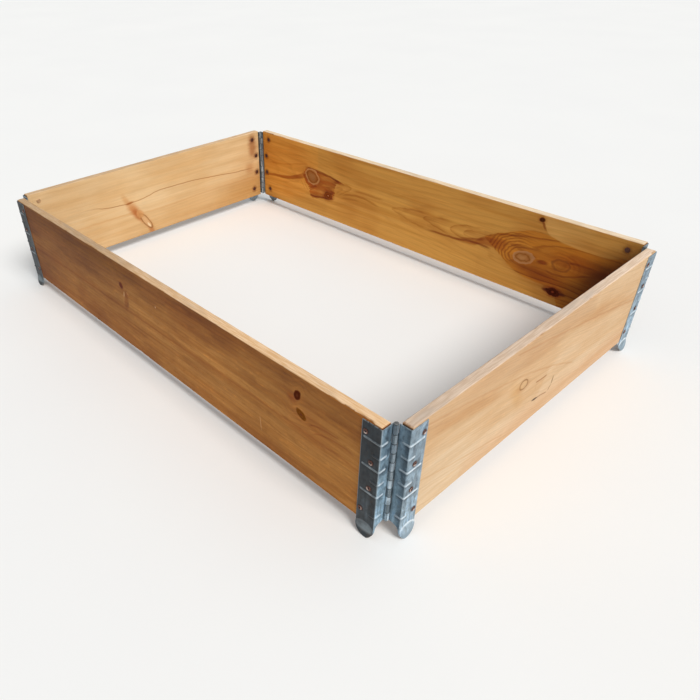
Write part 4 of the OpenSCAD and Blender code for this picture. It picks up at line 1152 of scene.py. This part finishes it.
# painted light: the front long leaves' outer flange painted dark as shade and their end flange bright as lit, the short
# leaves' outer flange bright as lit and their end flange darker as shade, the rear long leaves painted paler for light
# on their shaded inner side
zinc_long_painted_shade_and_light = zinc("galvanised_long_painted_shade_and_light", 1.0, lin(54, 60, 64), lin(142, 168, 184), 1.4, 0.34, 0.85, lin(146, 158, 164), lin(44, 54, 60), 0.85, 0.75, 0.0)
zinc_short_painted_light_and_shade = zinc("galvanised_short_painted_light_and_shade", 6.0, lin(140, 160, 174), lin(112, 133, 146), 1.4, 0.95, 0.36, lin(168, 184, 194), lin(140, 158, 170), 0.15, 0.30, 1.0)
zinc_rear_painted_light = zinc("galvanised_rear_painted_light", 9.0, lin(128, 142, 152), lin(128, 148, 160), 1.3, 0.7, 0.5, lin(168, 182, 190), lin(132, 146, 156), 0.3, 0.4, 0.4)
rivet_mat = rivet_steel("rivet_steel_brown", 2.0)
rivet_dusty = rivet_steel("rivet_steel_dusty", 5.0, lin(204, 166, 122), lin(172, 132, 92))
pin_mat = pin_steel("pin_steel_dull")

for number, (corner, (at, turn, first_is)) in enumerate(CORNERS.items()):
    for kind in ("long", "short"):
        body = (LONG_BODY if kind == "long" else SHORT_BODY)[corner]
        mirrored = kind != first_is
        tag = f"{corner}_{kind}"
        # each leaf takes the copy of the sheet painted with the light and shade of its side
        sheet = zinc_short_painted_light_and_shade if kind == "short" else zinc_rear_painted_light if corner.startswith("rear") else zinc_long_painted_shade_and_light
        leaf("leaf_" + tag, tag + "_leaf", body, sheet, at, turn, 1 if mirrored else 0, mirrored, 300 + number * 17 + (7 if mirrored else 0))
        rng = np.random.default_rng(900 + number * 10 + (5 if mirrored else 0))
        vs, fs, lips, deeps, base = [], [], [], [], 0
        for ru, rz in RIVETS:
            prof = [(r * (1 + (0.04 * rng.uniform(-1, 1) if 1.4 < r < 5 and r != 2.9 else 0)), h) for r, h in RIVET]
            v, f = lathe(prof, 36)
            th = np.arctan2(v[:, 1], v[:, 0])
            rad = np.hypot(v[:, 0], v[:, 1])
            uneven = 1 + 0.035 * np.sin(2 * th + rng.uniform(0, 6)) + 0.02 * np.sin(3 * th + rng.uniform(0, 6))
            outer = (v[:, 2] > 24) & (rad > 1.2)
            v[outer, 0] *= uneven[outer]
            v[outer, 1] *= uneven[outer]
            p = np.stack([ru + v[:, 0], v[:, 2], rz - v[:, 1]], -1)
            vs.append(p)
            fs += [tuple(base + x for x in q) for q in f]
            base += len(v)
            rubbed = 0.5 + 0.5 * np.cos(th - rng.uniform(0, 6.3))
            lips.append(np.where((v[:, 2] > 25.0) & (rad < 3.6), 0.06 + 0.94 * smooth(rubbed, 0.45, 0.95), np.where(v[:, 2] > 24.4, 0.08, 0.05)))
            deeps.append(np.where((rad < 1.9) & (v[:, 2] > 12) & (v[:, 2] < 25.0), 1.0, 0.0))
        p = to_world(np.vstack(vs), at, turn, mirrored)
        if mirrored:
            fs = [tuple(reversed(q)) for q in fs]
        make("rivets_" + tag, p, fs, body, [tag + "_rivets"], rivet_dusty if tag == "front_left_short" else rivet_mat, None, 40, {"lip": np.concatenate(lips), "deep": np.concatenate(deeps)})
    v, f = lathe(PIN, 40)
    make("pin_" + corner, v + np.array([at[0], at[1], 25.0]), f, LONG_BODY[corner], [corner + "_pin"], pin_mat, None, 40)

# ---------------------------------------------------------------- stage, light, camera
size = 40.0
fm = bpy.data.meshes.new("floor")
fm.from_pydata([(-size, -size, 0), (size, -size, 0), (size, size, 0), (-size, size, 0)], [], [(0, 1, 2, 3)])
floor = bpy.data.objects.new("floor", fm)
scene.collection.objects.link(floor)
g = Graph("floor_pale")
g.put(g.bsdf.inputs["Base Color"], g.mix(g.noise(g.stretch(g.mm, (0.002, 0.002, 0.002)), 3.0), lin(236, 236, 236), lin(241, 241, 240)))
g.bsdf.inputs["Roughness"].default_value = 0.9
g.bsdf.inputs["Specular IOR Level"].default_value = 0.1
fm.materials.append(g.mat)

world = bpy.data.worlds.new("studio")
scene.world = world
world.use_nodes = True
world.node_tree.nodes["Background"].inputs[0].default_value = (0.93, 0.97, 1.0, 1)
world.node_tree.nodes["Background"].inputs[1].default_value = 0.50


def sun(name, azimuth, elevation, strength, soft, colour):
    d = bpy.data.lights.new(name, "SUN")
    d.energy, d.angle, d.color = strength, math.radians(soft), colour
    o = bpy.data.objects.new(name, d)
    scene.collection.objects.link(o)
    o.rotation_euler = (0.0, math.radians(90 - elevation), math.radians(azimuth))
    return o


sun("key", -6.0, 50.0, 2.5, 28.0, (1.0, 0.97, 0.93))

cam_data = bpy.data.cameras.new("camera")
cam = bpy.data.objects.new("camera", cam_data)
scene.collection.objects.link(cam)
yaw, pitch, roll = math.radians(138.983), math.radians(-36.5925), math.radians(-1.8494)
fw = np.array([math.cos(pitch) * math.cos(yaw), math.cos(pitch) * math.sin(yaw), math.sin(pitch)])
rt = np.cross(fw, [0, 0, 1.0])
rt /= np.linalg.norm(rt)
up = np.cross(rt, fw)
r2 = math.cos(roll) * rt + math.sin(roll) * up
u2 = -math.sin(roll) * rt + math.cos(roll) * up
Mc = Matrix.Identity(4)
for i in range(3):
    Mc[i][0], Mc[i][1], Mc[i][2] = r2[i], u2[i], -fw[i]
    Mc[i][3] = (0.95002, -0.90178, 0.77233)[i]
cam.matrix_world = Mc
cam_data.sensor_fit = "HORIZONTAL"
cam_data.sensor_width = 36.0
cam_data.lens = 628.895 / 700.0 * 36.0
cam_data.shift_x = (350.0 - 280.506) / 700.0
cam_data.shift_y = (374.162 - 350.0) / 700.0
cam_data.clip_start, cam_data.clip_end = 0.02, 200.0
scene.camera = cam
